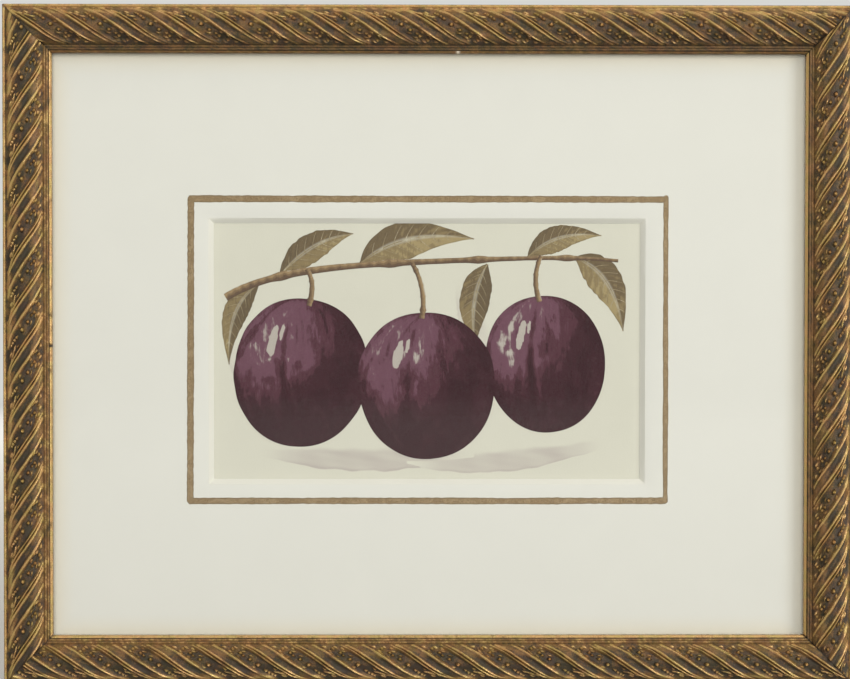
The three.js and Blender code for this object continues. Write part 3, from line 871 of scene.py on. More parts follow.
def carving(share, turn, repeat, sizes):
    """Relief and gilding of the rope at a share of the repeat and a turn from the crest.

    The relief is a sum of bells for the rims, smooth steps for the channel and the flute, a narrow
    bell for the groove, and the tallest of a row of half balls and of small leaf-shaped bumps.
    Slow ripples along and across the strands make no two repeats quite alike.
    """
    sway = 0.007 * ripple(share * 5, turn * 3, 21)
    p = (share + sway) % 1
    near_rim = (p + 0.5) % 1 - 0.5
    degrees = np.degrees(turn)
    outer_end = 1 - step(degrees, -52, -30)
    inner_end = step(degrees, 30, 52)
    open_part = step(degrees, -61, -46) * (1 - step(degrees, 46, 60))
    weight = 1 + 0.5 * ripple(share * 12, turn * 8, 22)
    rims = weight * (
        bump(near_rim, RIM_AFTER_CHANNEL, 0.024)
        + bump(p, RIM_AFTER_FLUTE, 0.024)
        + 0.7 * bump(p, RIM_BEFORE_CHANNEL, 0.015)
    )
    channel = step(p, 0.445, 0.5) * (1 - step(p, 0.87, 0.975))
    flute = step(p, 0.035, 0.12) * (1 - step(p, 0.2, 0.285))
    flute = flute * step(degrees, -38, -16) * (1 - step(degrees, 8, 34))
    groove = bump(p, GROOVE_AT, 0.02) * step(degrees, -54, -34)
    ground = 0.03 * MM * ripple(repeat * share / (0.3 * MM), ROPE_RADIUS * turn / (0.3 * MM), 23)
    relief = (
        -0.2 * MM + sizes.rim_height * rims * open_part
        - sizes.channel_depth * (0.3 + 0.7 * open_part) * channel
        - sizes.flute_depth * flute - sizes.groove_depth * groove * (1 - 0.5 * inner_end)
        - 0.18 * MM * inner_end + ground * channel
    )
    strand = 1 - channel
    worn = ripple(share * 17, turn * 9, 24)
    # The strands' outer and inner ends are gilded lighter, partly as worn gold and partly as painted light;
    # the flute's slopes beside both rims are darker, partly wash in the crease and partly painted shade.
    gilding = (
        EVEN_GILDING + 0.1 * worn + weight * (
            0.68 * bump(near_rim, 0.004, 0.034) + 0.68 * bump(p, RIM_AFTER_FLUTE, 0.031)
            + 0.5 * bump(p, RIM_BEFORE_CHANNEL, 0.02)
        )
        - 0.2 * bump(near_rim, 0.065, 0.03) - 0.2 * bump(p, RIM_AFTER_FLUTE - 0.06, 0.03)
        + (0.34 * outer_end + 0.12 * inner_end) * strand * (1 + 0.5 * worn)
        - 0.26 * channel * (1 - 0.6 * outer_end) * (1 - 0.5 * inner_end) - 0.3 * flute - 0.12 * groove
    )

    def far(at_share, at_turn):
        return repeat * (p - at_share) + STRAND_LEAD * (turn - at_turn), ROPE_RADIUS * (turn - at_turn)

    for at_degrees, at_share, radius in BEADS:
        along, over = far(at_share, math.radians(at_degrees))
        radius = radius * MM
        inside = np.sqrt(np.clip(radius**2 - along**2 - over**2, 0, None))
        lift = -0.97 * MM + 1.45 * inside
        relief = np.where(inside > 0, np.maximum(relief, lift), relief)
        gilding = np.maximum(gilding, 1.25 * step(inside / radius, 0.35, 0.85))
    for at_share, at_degrees, long, wide, lean in LEAVES:
        along, over = far(at_share, math.radians(at_degrees))
        forth = (along * math.cos(lean) + over * math.sin(lean)) / (long * MM)
        sideways = (over * math.cos(lean) - along * math.sin(lean)) / (wide * MM)
        inside = np.clip(1 - forth**2 - sideways**2, 0, None)
        relief = relief + 0.55 * MM * np.sqrt(inside)
        gilding = np.maximum(gilding, (0.95 + 0.3 * worn) * step(inside, 0.1, 0.8))
    return relief, gilding


def welded_faces(along, low, high):
    """A rail's faces: grid points past a mitre are one point of its end ring, and flat ends close it.

    Returns the grid points that are used, and the faces over them, with no face left that is a line.
    """
    rows, columns = along.shape
    number = np.arange(rows * columns).reshape(rows, columns)
    number = np.where(along <= low, number[0], number)
    number = np.where(along >= high, number[-1], number)
    quads = number.ravel()[grid_faces(rows, columns, round_columns=True)]
    triangles = np.concatenate([quads[:, [0, 1, 2]], quads[:, [0, 2, 3]]])
    a, b, c = triangles.T
    triangles = triangles[(a != b) & (b != c) & (a != c)]
    corners = np.concatenate([triangles.ravel(), *end_faces(rows, columns)])
    used, renumbered = np.unique(corners, return_inverse=True)
    triangles, *ends = np.split(renumbered, [triangles.size, triangles.size + columns])
    return used, [triangles.reshape(-1, 3), *ends]


def rail_skin(side, sizes):
    """One mitred rail: the section carried along it, with rows that lean as the strands do.

    A point's place along the rail is first rim + repeat * share + lead * turn, held between the two
    mitres.
    """
    corner, direction, inwards, repeat, first_rim = RAILS[side]
    painted_lift, painted_contrast, groove_painted_light, inner_painted_shade = RAIL_PAINTED_LIGHT[side]
    length = OUTER_WIDTH if direction[1] == 0 else OUTER_HIGH
    across, height, turn, gilding, bare, chip, rope = moulding_section().T
    front = height > FRONT_FROM
    count = math.ceil((length + 2 * STRAND_LEAD * ROPE_TURN) / repeat) + 2
    first = -math.ceil((first_rim + STRAND_LEAD * ROPE_TURN) / repeat) - 1
    shares = (np.arange(first, first + count + 1)[:, None] + carving_rows()[None, :]).ravel()
    along = first_rim + repeat * shares[:, None] + STRAND_LEAD * turn[None, :]

    def carved(where):
        share = (where - first_rim - STRAND_LEAD * turn) / repeat
        relief, gild = carving(share, turn, repeat, sizes)
        wear = 0.035 * MM * ripple(where / (2.3 * MM), turn * 5, 11 + len(side))
        grain = 0.022 * MM * ripple(where / (0.42 * MM), turn * 16, 15 + len(side), 11)
        relief = (relief + wear + grain) * rope
        out = across + relief * np.sin(turn)
        up = height + relief * np.cos(turn) + (1 - rope) * wear * 0.4 * front
        specks = ripple(where / (0.55 * MM), across / (0.2 * MM), 19 + len(side), 11)
        specks = specks * np.where(across < FILLET_WIDTH, 0.08, 0.16)
        # Painted light and shade of this rail: its gilding lightened, darkened and given more or less
        # contrast as light falls on its side.
        places = (-ROPE_TURN, 0, ROPE_TURN)
        gild = EVEN_GILDING + (gild - EVEN_GILDING) * np.interp(turn, places, painted_contrast)
        gild = gild + np.interp(turn, places, painted_lift)
        # Painted light in the groove beside the fillet, and painted shade or light on the inner reeds and
        # sight edge, by side.
        plain = gilding + (specks + groove_painted_light * bump(across, 1.03 * MM, 0.3 * MM)) * front
        inner_shade_share = np.where(across < SIGHT_START, *inner_painted_shade)
        plain = plain * np.where(front & (across > ROPE_END), inner_shade_share, 1)
        return out, up, np.clip(np.where(rope > 0, gild, plain), 0, 1)

    low = across + MITRE_GAP / 2
    high = length - across - MITRE_GAP / 2
    for _ in range(2):
        low = carved(low)[0] + MITRE_GAP / 2
        high = length - carved(high)[0] - MITRE_GAP / 2
    held = np.clip(along, low, high)
    out, up, gild = carved(held)
    held[0] = out[0] + MITRE_GAP / 2
    held[-1] = length - out[-1] - MITRE_GAP / 2
    for strength, reach in zip(DARK_JOINTS[side], (held, length - held)):
        gild = gild * (1 - strength * bump(reach - out - MITRE_GAP / 2, 0, JOINT_REACH))
    x = corner[0] * OUTER_WIDTH / 2 + direction[0] * held + inwards[0] * out
    z = corner[1] * OUTER_HIGH / 2 + direction[1] * held + inwards[1] * out
    spot = np.zeros_like(held)
    if side == "top":
        spot = chip * bump(held, CHIP_ALONG, 0.45 * MM)
    if side == "left":
        nick = chip * bump(held, NICK_ALONG, 0.4 * MM)
        gild = gild * (1 - nick)
        up = up - 0.15 * MM * nick
    used, faces = welded_faces(along, low, high)
    points = place(x, z, up - 0.12 * MM * spot).reshape(-1, 3)[used]
    values = {"gilding": gild, "chip": spot, "bare_wood": np.broadcast_to(bare, held.shape)}
    values = {key: numbers.ravel()[used] for key, numbers in values.items()}
    return points, outward(points, faces), values


def mat_face(x, z):
    """How far the mat's face dips below flat: a faint waviness of the board, never above flat."""
    return -0.02 * MM * (1 + ripple(x / (24 * MM), z / (24 * MM), 5))


def mat_skin():
    """The mat as a ring: points run round it, from its outer edge over the face, down the bevel and home.

    A point is a blend of the outer rectangle and the window's rectangle at the same share of the way
    round, so the four corners stay mitred.
    """
    left, right, bottom, top = plan_box("window_mat")
    bevel = MAT_FRONT - MAT_BACK
    ease = 0.06 * MM
    per_side = 40
    share = np.arange(per_side) / per_side
    ends = np.array([(-1, -1), (1, -1), (1, 1), (-1, 1), (-1, -1)], float)
    unit = np.concatenate([ends[i] + (ends[i + 1] - ends[i]) * share[:, None] for i in range(4)])
    outer = np.where(unit < 0, (-left, -bottom), (right, top)) * unit

    def window(grow):
        return WINDOW_MIDDLE * MM + (np.array(WINDOW_HALF) + grow) * unit

    border = window(0)[0, 0] - outer[0, 0]
    rings = [(outer, MAT_BACK, 0, 0), (outer, MAT_FRONT - 0.1 * MM, 0, 0)]
    for part in np.linspace(0.002, 1, 16) ** 1.3:
        edge = outer + (window(bevel + 1.6 * ease) - outer) * part
        # A painted reflection: how strongly the gilt lip's warm light is painted into the face here.
        toned = np.clip(1 - (border * part - LIP) / GOLD_REFLECTION_REACH, 0, 1) ** 1.5
        rings.append((edge, MAT_FRONT, 0, toned))
    rings += [
        (window(bevel + 0.6 * ease), MAT_FRONT - 0.3 * ease, 0.2, 0),
        (window(bevel - ease), MAT_FRONT - ease, 1, 0),
        (window(bevel / 2), (MAT_FRONT + MAT_BACK) / 2, 1, 0),
        (window(0.3 * ease), MAT_BACK + 0.3 * ease, 1, 0),
        (window(0), MAT_BACK, 0.5, 0),
        (window(20 * MM), MAT_BACK, 0, 0),
    ]
    grid = []
    for edge, height, *_ in rings:
        x, z = edge.T
        dip = mat_face(x, z) if height > MAT_FRONT - 0.5 * ease else 0
        grid.append(place(x, z, height + dip))
    columns = {"core": 2, "toned": 3}
    values = {key: np.repeat([ring[k] for ring in rings], len(unit)) for key, k in columns.items()}
    return *tube(np.stack(grid), closed=True), values


def headings(path):
    """Unit vectors along a plan path, and to its left."""
    ahead = np.gradient(path, axis=0)
    ahead = ahead / np.linalg.norm(ahead, axis=1, keepdims=True)
    return ahead, np.column_stack([-ahead[:, 1], ahead[:, 0]])


def stroke(path, half_width, base, film, across=8, tone=0.5, cover=1.0):
    """A thin closed film along a plan path: a flat back at base and a front that swells by the film.

    Across the stroke w runs from -1 to 1, the offset is w * half width along the path's normal, and
    the front's height is base + film * sqrt(1 - w^2). Its values are the distance to the edge, the
    tone and the cover, each a number or a function of (share along, w, x, z).
    """
    normal = headings(path)[1]
    w = np.concatenate([-np.cos(np.linspace(0, math.pi, across + 1)), [0.55, -0.55]])
    front = np.concatenate([np.ones(across + 1), [0, 0]])
    flat = path[:, None, :] + (half_width[:, None] * w[None, :])[..., None] * normal[:, None, :]
    x, z = flat[..., 0], flat[..., 1]
    swell = film * front * np.sqrt(np.clip(1 - w**2, 0, None))
    under = base(x, z) if callable(base) else base
    points, faces = tube(place(x, z, under + swell[None, :]))
    v = np.broadcast_to(np.linspace(0, 1, len(path))[:, None], x.shape)
    wide = np.broadcast_to(w[None, :], x.shape)

    def over(value):
        return value(v, wide, x, z) if callable(value) else np.full_like(x, value)

    values = {
        "edge": (1 - np.abs(wide)) * half_width[:, None], "tone": over(tone), "cover": over(cover),
    }
    return points, faces, {key: numbers.ravel() for key, numbers in values.items()}


def curve(points, steps):
    """A smooth path: the Bezier curve of the given plan points in millimetres."""
    points = np.repeat(np.array(points, float)[:, None, :] * MM, steps, axis=1)
    t = np.linspace(0, 1, steps)[:, None]
    while len(points) > 1:
        points = points[:-1] * (1 - t) + points[1:] * t
    return points[0]


def ruled_line_parts(sizes):
    """Four overlapping strokes round the window; each edge wanders by its own seeded ripple."""
    parts = []
    for number, (before, after, weight) in enumerate(LINE_STROKES):
        start = LINE_CORNERS[number]
        side = LINE_CORNERS[(number + 1) % 4] - start
        way = side / np.linalg.norm(side)
        share = np.linspace(0, 1, 620)
        path = (start - way * before + (side + way * (before + after)) * share[:, None]) * MM
        run = np.linalg.norm(path - path[0], axis=1) / MM
        drift = ripple(run / 9, 0, 31 + number)
        normal = np.array([-way[1], way[0]])
        path = path + (sizes.line_wobble * 0.6 * drift)[:, None] * normal
        rough = ripple(run / 3.1, 0, 41 + number) + 1.1 * ripple(run / 0.5, 0, 51 + number)
        width = sizes.line_width / 2 * weight + sizes.line_wobble * 0.75 * rough
        ends = np.sqrt(np.clip(np.minimum(run, run[-1] - run) / 0.5, 0.05, 1))
        layer = MAT_FRONT + (number + 1) * LINE_LAYER

        def base(x, z, layer=layer):
            return layer + mat_face(x, z)

        parts.append(stroke(path, width * ends, base, sizes.line_film))
    return parts


def in_window(points):
    """Places measured from the window's middle, as plan places in millimetres."""
    return [tuple(np.array(point) + WINDOW_MIDDLE) for point in points]


def painted(sizes, path, half, layer, across, tone, cover=1.0, thickness=1.0):
    """A stroke of watercolour on its layer of the sheet; its thickness is a number of paint films."""
    film = sizes.paint_film
    return stroke(path, half, SHEET_FRONT + layer * film, film * thickness, across, tone, cover)


def leaf_parts(sizes, start, middle, end, width, layer, shade):
    """A lance-shaped leaf: its half width is width * sin(pi * v^0.8), one half darker, with veins."""
    path = curve(in_window((start, middle, end)), 56)
    v = np.linspace(0, 1, len(path))
    seed = int(abs(start[0] * 7 + end[1] * 3))
    half = width * MM * np.sin(math.pi * np.clip(v, 0.012, 0.988) ** 0.8) ** 1.15
    half = half * (1 + 0.05 * ripple(v * 40, 0, seed)) + 0.08 * MM

    def tone(v, w, x, z):
        veins = 0.16 * np.abs(np.sin((v * 9 - np.abs(w) * 1.6) * math.pi)) ** 6
        return 0.32 + shade + 0.34 * step(w, -0.15, 0.15) + 0.25 * (1 - v) - veins

    def thin(v, w, x, z):
        return 0.93 - 0.5 * bump(w, 0.0, 0.055) * step(v, 0.02, 0.1)

    def vein(along, from_width, to_width, darkness, cover):
        widths = np.linspace(from_width, to_width, len(along)) * MM
        return painted(sizes, along, widths, layer + 1.1, 4, darkness, cover, 0.6)

    parts = [painted(sizes, path, half, layer, 18, tone, thin), vein(path[:-3], 0.2, 0.06, 0.14, 0.9)]
    ahead, left = headings(path)
    for i in range(8, 48, 6):
        for out in (-left[i], left[i]):
            bend = path[i] + (0.35 * out + 0.2 * ahead[i]) * half[i]
            tip = path[i] + (0.8 * out + 0.75 * ahead[i]) * half[i]
            side_vein = curve(np.array([path[i], bend, tip]) / MM, 10)
            parts.append(vein(side_vein, 0.11, 0.04, 0.16, 0.85))
    return parts


def plum_part(sizes, top, bottom, radius, layer):
    """A plum as one broad film: half width radius * sqrt(1 - (2v - 1)^2), its tone that of a lit ball.

    Brush strokes lie on it along its meridians. Each adds a step of tone inside a long patch with
    firm edges: a seeded half length and half width round a seeded middle.
    """
    t = np.linspace(0.012, 0.988, 170)
    v = (1 - np.cos(math.pi * t)) / 2
    start, end = (np.array(p) * MM for p in in_window((top, bottom)))
    path = start + (end - start) * v[:, None]
    long = np.linalg.norm(end - start)
    sag = (end - start)[::-1] * np.array([1, -1]) / long
    path = path + sag * (np.sin(math.pi * v) * 0.6 * MM)[:, None]
    seed = int(abs(top[0] * 5 + radius))
    half = radius * MM * np.sqrt(1 - (2 * v - 1) ** 2) ** 0.92
    half = half * (1 + 0.06 * (0.5 - v) + 0.012 * ripple(v * 14, 0, seed))
    middle = (start + end) / 2
    draw = np.random.default_rng(seed + 400)
    count = 46
    strokes = np.column_stack([
        draw.uniform(-0.95, 0.95, count), draw.uniform(-0.8, 0.8, count), draw.uniform(0.1, 0.42, count),
        draw.uniform(0.03, 0.1, count), draw.choice([0.12, 0.09, 0.07, -0.08], count),
    ])

    def tone(v, w, x, z):
        side_x = (x - middle[0]) / (radius * MM)
        side_z = (z - middle[1]) / (long / 2)
        out = np.sqrt(np.clip(1 - side_x**2 - side_z**2, 0, 1))
        lit = -0.5 * side_x + 0.55 * side_z + 0.67 * out
        meridian = side_x / np.sqrt(np.clip(1 - side_z**2, 0.06, 1))
        rough = ripple(side_x * 26, side_z * 26, seed + 1)
        total = 0.94 - 0.8 * step(lit, 0.2, 1.05)
        total = total - 0.2 * bump(side_x, 0.8, 0.13) * bump(side_z, -0.3, 0.4)
        crease = bump(meridian + 0.3, 0.0, 0.05) * step(0.92 - np.abs(side_z), 0, 0.25)
        total = total + 0.3 * crease + 0.03 * rough
        for at, high, length, width, strength in strokes:
            across = np.abs(meridian - at - 0.05 * np.sin(side_z * 5 + at * 9)) / width
            forth = np.abs(side_z - high) / length
            inside = np.hypot(across, forth**2) + 0.08 * rough
            total = total + strength * (1 - step(inside, 0.82, 1.0))
        for at, high, length, width in HIGHLIGHTS:
            inside = np.hypot((meridian - at) / width, (side_z - high) / length) + 0.12 * rough
            total = total - 0.8 * (1 - step(inside, 0.75, 1.05))
        return total

    return painted(sizes, path, half, layer, 120, tone)


def twig_part(sizes, points, from_width, to_width, layer, steps):
    """A twig: a stroke that tapers, swells at its knots and is darker along its lower side.

    The number of steps also seeds its ripple.
    """
    v = np.linspace(0, 1, steps)
    knots = 0.35 * sum(bump(v, at, 0.018) for at in (0.16, 0.42, 0.63, 0.86))
    half = (from_width + (to_width - from_width) * v + knots * from_width) * MM
    half = half * (1 + 0.08 * ripple(v * 60, 0, steps))

    def tone(v, w, x, z):
        return 0.45 - 0.42 * w + 0.2 * np.sin(v * 140) ** 8

    return painted(sizes, curve(in_window(points), steps), half, layer, 12, tone, 0.95)


def shade_part(sizes, start, middle, end, width, strength):
    """A watery wash: a firm edge, clouds of pigment, and ends that fade to nothing."""
    def cover(v, w, x, z):
        clouds = 0.72 + 0.2 * ripple(x / (2.6 * MM), z / (1.1 * MM), 61)
        rim = 0.3 * bump(np.abs(w), 0.88, 0.1) * (w < 0)
        firm = step(1 - np.abs(w), 0, np.where(w > 0, 0.5, 0.1))
        return strength * np.clip(clouds + rim, 0, 1.1) * firm * step(np.minimum(v, 1 - v), 0, 0.25)

    path = curve(in_window((start, middle, end)), 90)
    v = np.linspace(0, 1, 90)
    uneven = 0.13 * ripple(v * 22, 0, int(width * 9)) + 0.05 * ripple(v * 90, 0, int(width * 7))
    half = width * MM * (0.35 + 0.65 * np.sin(math.pi * v)) * (1 + uneven)
    return painted(sizes, path, half, SHADE_LAYER, 30, 0.4, cover, 0.5)


def painting_parts(sizes):
    """A generic study of three plums on a leafy twig, sorted by pigment, each part on its own layer."""
    return {
        "plum": [plum_part(sizes, *row) for row in PLUMS],
        "leaf": [part for row in PAINTED_LEAVES for part in leaf_parts(sizes, *row)],
        "twig": [twig_part(sizes, *row) for row in TWIGS],
        "shade": [shade_part(sizes, *row) for row in SHADES],
    }


def cover_skin(sizes):
    """The dust cover: a thin sheet, sunk over the hollow back, with soft pulls from its glued edge.

    Its dip is sag * (1 - |x|^4)(1 - |z|^4) over the hollow, plus ripples that fade in the middle.
    """
    left, right, bottom, top = plan_box("dust_cover")
    u, v = np.meshgrid(np.linspace(-1, 1, 110), np.linspace(-1, 1, 90), indexing="ij")
    x, z = u * (right - left) / 2, v * (top - bottom) / 2
    hollow_x = np.clip(np.abs(x) / (OUTER_WIDTH / 2 - RABBET_WALL), 0, 1)
    hollow_z = np.clip(np.abs(z) / (OUTER_HIGH / 2 - RABBET_WALL), 0, 1)
    open_part = (1 - hollow_x**4) * (1 - hollow_z**4)
    pulls = ripple(x / (7 * MM), z / (22 * MM), 71) * 0.2 + ripple(x / (26 * MM), z / (8 * MM), 72) * 0.2
    dip = open_part * (sizes.cover_sag + pulls * MM * (1 - 0.55 * open_part) * 1.4)
    trim = 0.12 * MM * step(np.maximum(np.abs(u), np.abs(v)), 0.97, 1.0)
    x = x + trim * ripple(z / (7 * MM), 0, 73)
    z = z + trim * ripple(x / (7 * MM), 0, 74)
    front = place(x, z, COVER_FRONT + dip)
    back = place(x, z, COVER_BACK + dip)
    points = np.concatenate([front.reshape(-1, 3), back.reshape(-1, 3)])
    total = x.size
    sheet = grid_faces(*x.shape)
    number = np.arange(total).reshape(x.shape)
    rim = np.concatenate([number[:, 0], number[-1, 1:], number[-2::-1, -1], number[0, -2:0:-1]])
    following = np.roll(rim, -1)
    hem = np.stack([following, rim, rim + total, following + total], axis=-1)
    faces = [sheet, sheet[:, ::-1] + total, hem]
    return points, outward(points, faces)


def lathe(profile, middle_x, middle_z, sides, shape):
    """A turned shape: each (radius, height) of the profile round an axis towards the viewer.

    shape(radius, angle, height) gives the radius and the height that stay, so it can cut a recess.
    """
    radius, height = np.array(profile, float).T
    angle = np.linspace(0, math.tau, sides, endpoint=False)
    r, a = np.meshgrid(radius, angle, indexing="ij")
    r, h = shape(r, a, np.repeat(height[:, None], sides, axis=1))
    return tube(place(middle_x + r * np.cos(a), middle_z + r * np.sin(a), h))


def round_node(node):
    """Middle x and z, radius, and heights of the back and the front of a round CAD node."""
    left, right, bottom, top = plan_box(node)
    return (left + right) / 2, (bottom + top) / 2, (right - left) / 2, *heights(node)


def screw_skin(node):
    """A pan head with a cross recess over a threaded shank, both turned round the CAD screw's axis."""
    middle_x, middle_z, head, low, high = round_node(node)
    seat = low + 1.1 * MM
    dome = [(head * math.sin(t), seat - (seat - low) * math.cos(t) ** 0.8)
            for t in np.linspace(0.004, math.pi / 2 * 0.97, 30)]
    thread = 0.8 * MM
    shank = np.linspace(seat, high - 1.6 * MM, 90)
    profile = dome + [(head, seat - 0.06 * MM), (head - 0.06 * MM, seat), (thread, seat)]
    profile += [(thread * (0.82 + 0.18 * abs(math.sin(h / MM * math.pi * 1.1))), h) for h in shank]
    profile += [(0.02 * MM, high)]

    def recess(r, a, h):
        x, z = np.abs(r * np.cos(a + 0.4)), np.abs(r * np.sin(a + 0.4))
        arm = 0.24 * MM
        reach = 1 - step(np.maximum(x, z), 1.05 * MM, 1.2 * MM)
        cross = 1 - step(np.minimum(x, z), arm * 0.8, arm * 1.15)
        sunk = np.minimum(h + 0.62 * MM * cross * reach, seat - 0.15 * MM * (1 - cross))
        return r, np.where(h < seat - 0.02 * MM, sunk, h)

    return lathe(profile, middle_x, middle_z, 96, recess)


def pad_skin(node):
    """A felt pad: a disc with a soft rim and a face that is a little uneven."""
    middle_x, middle_z, radius, low, high = round_node(node)
    soft = 0.5 * MM
    edge = 0.1 * MM
    face = [(radius * share, low) for share in np.linspace(0.02, 0.86, 14)]
    rim = [(radius - soft + soft * math.sin(t), low + soft - soft * math.cos(t))
           for t in np.linspace(0, math.pi / 2, 8)]
    profile = face + rim + [(radius, high - edge), (radius - edge, high), (0.05 * radius, high)]

    def fuzz(r, a, h):
        rough = ripple(r * np.cos(a) / (0.5 * MM), r * np.sin(a) / (0.5 * MM), 91)
        loose = h < high - edge / 2
        return r + 0.035 * MM * rough * (loose & (r > 0.2 * radius)), h + 0.04 * MM * np.abs(rough) * loose

    return lathe(profile, middle_x, middle_z, 72, fuzz)


def hanger_skin():
    """The CAD hanger's outline as one clean skin: its loose triangles merged, flat areas dissolved."""
    work = bmesh.new()
    work.from_mesh(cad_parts["sawtooth_hanger"].data)
    bmesh.ops.remove_doubles(work, verts=work.verts, dist=0.001 * MM)
    bmesh.ops.dissolve_limit(
        work, angle_limit=math.radians(2), verts=work.verts, edges=work.edges, delimit={"NORMAL"}
    )
    mesh = bpy.data.meshes.new("bevelled_sawtooth_hanger")
    work.to_mesh(mesh)
    work.free()
    return mesh


class PictureOperator:
    """What every operator of the picture shares."""

    bl_options = {"REGISTER", "UNDO"}

    def settings(self, context):
        """The scene's sizes and colours."""
        return context.scene.picture_sizes, context.scene.picture_colours


class PICTURE_OT_rails(PictureOperator, Operator):
    """Carve the four rope-pattern rails and gild them"""

    bl_idname = "picture.rails"
    bl_label = "Carved rails"

    def execute(self, context):
        sizes, colours = self.settings(context)
        gilt = gilt_material(colours)
        for side in RAILS:
            skin = rail_skin(side, sizes)
            add_piece(f"carved_{side}_rail", skin, gilt, [f"{side}_rail"], sharp=55)
        return {"FINISHED"}


class PICTURE_OT_glass(PictureOperator, Operator):
    """Finish the glass pane"""

    bl_idname = "picture.glass"
    bl_label = "Glass"

    def execute(self, context):
        finish_nodes(["glass_pane"], glass_material(self.settings(context)[1]))
        return {"FINISHED"}


class PICTURE_OT_mat(PictureOperator, Operator):
    """Make the window mat with its bevel"""

    bl_idname = "picture.mat"
    bl_label = "Window mat"

    def execute(self, context):
        board = mat_material(self.settings(context)[1])
        add_piece("bevelled_mat", mat_skin(), board, ["window_mat"], sharp=30)
        return {"FINISHED"}


class PICTURE_OT_ruled_line(PictureOperator, Operator):
    """Rule the gold line round the window"""

    bl_idname = "picture.ruled_line"
    bl_label = "Ruled gold line"

    def execute(self, context):
        sizes, colours = self.settings(context)
        add_piece("ruled_gold_line", join(ruled_line_parts(sizes)), line_material(colours))
        return {"FINISHED"}


class PICTURE_OT_painting(PictureOperator, Operator):
    """Finish the sheet and paint the fruit study on it"""

    bl_idname = "picture.painting"
    bl_label = "Sheet and painting"

    def execute(self, context):
        sizes, colours = self.settings(context)
        finish_nodes(["artwork_sheet"], paper_material("watercolour_paper", colours.sheet, 0.06, 1.0))
        pigments = {
            "plum": (colours.plum_light, colours.plum_middle, colours.plum_dark),
            "leaf": (colours.leaf_light, colours.leaf_middle, colours.leaf_dark),
            "twig": (colours.twig_light, colours.twig_middle, colours.twig_dark),
            "shade": (colours.shade_wash, colours.shade_wash, colours.shade_wash),
        }
        for name, parts in painting_parts(sizes).items():
            pigment = wash_material(f"{name}_pigment", colours, *pigments[name])
            add_piece(f"painted_{name}", join(parts), pigment)
        return {"FINISHED"}


class PICTURE_OT_boards(PictureOperator, Operator):
    """Finish the boards and hinges that lie in the rabbet"""

    bl_idname = "picture.boards"
    bl_label = "Boards and hinges"

    def execute(self, context):
        colours = self.settings(context)[1]
        tape = paper_material("hinge_tape", colours.tape, 0.1, 1.4)
        finish_nodes(["left_hinge_tape", "right_hinge_tape"], tape)
        finish_nodes(["mount_board"], paper_material("mount_board", colours.board, 0.06, 0.6))
        finish_nodes(["filler_board"], paper_material("filler_board", colours.filler, 0.03, 0.3, 0.7))
        return {"FINISHED"}


class PICTURE_OT_fixings(PictureOperator, Operator):
    """Finish the glazing points and the V nails"""

    bl_idname = "picture.fixings"
    bl_label = "Points and V nails"

    def execute(self, context):
        steel = metal_material("point_steel", self.settings(context)[1].steel, (0.16, 0.12, 0.09, 1))
        finish_nodes([f"{side}_point_{number}" for side in RAILS for number in (1, 2)], steel)
        corners = [f"{high}_{side}" for high in ("top", "bottom") for side in ("left", "right")]
        finish_nodes([f"{corner}_v_nail" for corner in corners], steel)
        return {"FINISHED"}


class PICTURE_OT_dust_cover(PictureOperator, Operator):
    """Paper the back"""

    bl_idname = "picture.dust_cover"
    bl_label = "Dust cover"

    def execute(self, context):
        sizes, colours = self.settings(context)
        kraft = kraft_material(colours)
        add_piece("kraft_dust_cover", cover_skin(sizes), kraft, ["dust_cover"], sharp=30)
        return {"FINISHED"}


class PICTURE_OT_hanger(PictureOperator, Operator):
    """Make the sawtooth hanger and its two screws"""

    bl_idname = "picture.hanger"
    bl_label = "Sawtooth hanger"

    def execute(self, context):
        brass = metal_material("brassed_steel", self.settings(context)[1].brass, (0.2, 0.12, 0.05, 1))
        strip = mount(
            "bevelled_sawtooth_hanger", hanger_skin(), brass, ["sawtooth_hanger"]
        )
        rounding = strip.modifiers.new("Rounded edges", "BEVEL")
        rounding.width = 0.12 * MM
        rounding.segments = 2
        rounding.limit_method = "ANGLE"
        rounding.angle_limit = math.radians(35)
        for side in ("left", "right"):
            node = f"{side}_hanger_screw"
            add_piece(f"{side}_cross_screw", screw_skin(node), brass, [node], sharp=35)
        return {"FINISHED"}


class PICTURE_OT_pads(PictureOperator, Operator):
    """Make the two felt pads"""

    bl_idname = "picture.pads"
    bl_label = "Felt pads"

    def execute(self, context):
        felt = felt_material(self.settings(context)[1])
        for side in ("left", "right"):
            node = f"{side}_felt_pad"
            add_piece(f"{side}_soft_pad", pad_skin(node), felt, [node], sharp=60)
        return {"FINISHED"}


def add_lamp(name, position, size, colour, mirrored, power):
    """A soft square lamp that looks at the middle of the back, and may or may not show in gloss."""
    lamp = bpy.data.lights.new(name, "AREA")
    lamp.shape = "SQUARE"
    lamp.size = size
    lamp.energy = power
    lamp.color = colour
    holder = bpy.data.objects.new(name, lamp)
    x, y, z = np.array((CENTRE_X, BACK_Y, CENTRE_Z)) - position
    holder.location = position
    holder.rotation_euler = (math.pi / 2 + math.atan2(z, math.hypot(x, y)), 0, math.atan2(-x, y))
    holder.visible_camera = False
    holder.visible_glossy = mirrored
    holder.visible_transmission = mirrored
    bpy.context.scene.collection.objects.link(holder)


def add_floor(studio):
    """A wide plain floor under the part."""
    mesh = bpy.data.meshes.new("floor")
    square = ((-1, -1), (1, -1), (1, 1), (-1, 1))
    corners = [(x * FLOOR_REACH, y * FLOOR_REACH, CAD_BOX[0].z) for x, y in square]
    mesh.from_pydata(corners, [], [(0, 1, 2, 3)])
    mesh.materials.append(floor_material(studio))
    floor = bpy.data.objects.new("floor", mesh)
    floor.visible_diffuse = False
    floor.visible_glossy = False
    bpy.context.scene.collection.objects.link(floor)


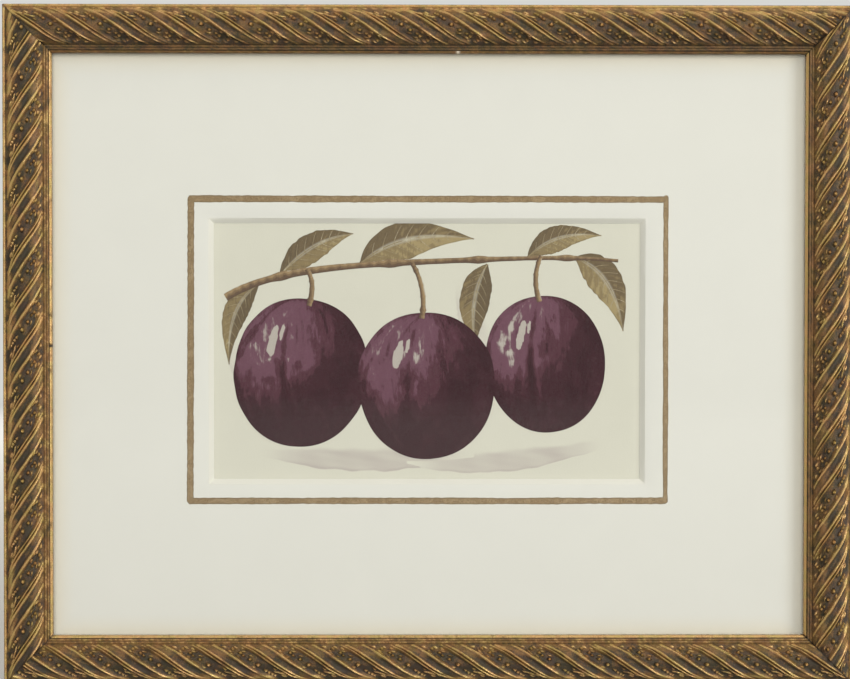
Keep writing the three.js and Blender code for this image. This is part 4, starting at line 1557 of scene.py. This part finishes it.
def pale_world(studio):
    """Plain pale air: full strength to the camera, and softer as light on the picture."""
    world = bpy.data.worlds.new("pale_studio")
    tree = empty_tree(world)
    seen, soft = (
        add_node(tree, "ShaderNodeBackground", {"Color": studio.air[:], "Strength": strength}).outputs[0]
        for strength in (1.0, 0.34)
    )
    camera_ray = add_node(tree, "ShaderNodeLightPath").outputs["Is Camera Ray"]
    both = add_node(tree, "ShaderNodeMixShader", {0: camera_ray, 1: soft, 2: seen}).outputs[0]
    add_node(tree, "ShaderNodeOutputWorld", {"Surface": both})
    return world


class PICTURE_OT_stage(PictureOperator, Operator):
    """Set the pale floor, the soft lamps and the camera"""

    bl_idname = "picture.stage"
    bl_label = "Stage"

    def execute(self, context):
        scene = context.scene
        studio = scene.picture_studio
        add_floor(studio)
        for name, *lamp in LAMPS:
            add_lamp(name, *lamp, getattr(studio, f"{name}_power"))
        scene.world = pale_world(studio)
        scene.view_settings.view_transform = "Standard"

        data = bpy.data.cameras.new("photo_camera")
        data.lens = studio.lens
        data.sensor_width = 36
        data.clip_start = 0.01
        camera = bpy.data.objects.new("photo_camera", data)
        camera.location = (CAMERA_ACROSS, -studio.distance, CAMERA_UP)
        camera.rotation_euler = [math.radians(turn) for turn in CAMERA_TURN]
        scene.collection.objects.link(camera)
        scene.camera = camera
        return {"FINISHED"}


class PICTURE_PT_panel(Panel):
    """Sidebar panel with the picture's operators, sizes and colours"""

    bl_label = "Framed picture"
    bl_idname = "PICTURE_PT_panel"
    bl_space_type = "VIEW_3D"
    bl_region_type = "UI"
    bl_category = "Picture"

    def draw(self, context):
        for operator in OPERATORS:
            self.layout.operator(operator.bl_idname)
        for name in SETTINGS:
            group = getattr(context.scene, name)
            box = self.layout.box()
            for key in group.__annotations__:
                box.prop(group, key)


OPERATORS = (
    PICTURE_OT_stage, PICTURE_OT_rails, PICTURE_OT_glass, PICTURE_OT_mat, PICTURE_OT_ruled_line,
    PICTURE_OT_painting, PICTURE_OT_boards, PICTURE_OT_fixings, PICTURE_OT_dust_cover,
    PICTURE_OT_hanger, PICTURE_OT_pads,
)
SETTINGS = {
    "picture_sizes": PictureSizes, "picture_colours": PictureColours, "picture_studio": StudioSettings,
}
CLASSES = (*SETTINGS.values(), *OPERATORS, PICTURE_PT_panel)


def register():
    """Registers the classes and hangs the settings on the scene."""
    for each in CLASSES:
        bpy.utils.register_class(each)
    for name, group in SETTINGS.items():
        setattr(bpy.types.Scene, name, PointerProperty(type=group))


def unregister():
    """Takes the settings and the classes away again."""
    for name in SETTINGS:
        delattr(bpy.types.Scene, name)
    for each in reversed(CLASSES):
        bpy.utils.unregister_class(each)


def main():
    register()
    bpy.ops.picture.stage()
    bpy.ops.picture.rails()
    bpy.ops.picture.glass()
    bpy.ops.picture.mat()
    bpy.ops.picture.ruled_line()
    bpy.ops.picture.painting()
    bpy.ops.picture.boards()
    bpy.ops.picture.fixings()
    bpy.ops.picture.dust_cover()
    bpy.ops.picture.hanger()
    bpy.ops.picture.pads()


if __name__ == "__main__":
    main()
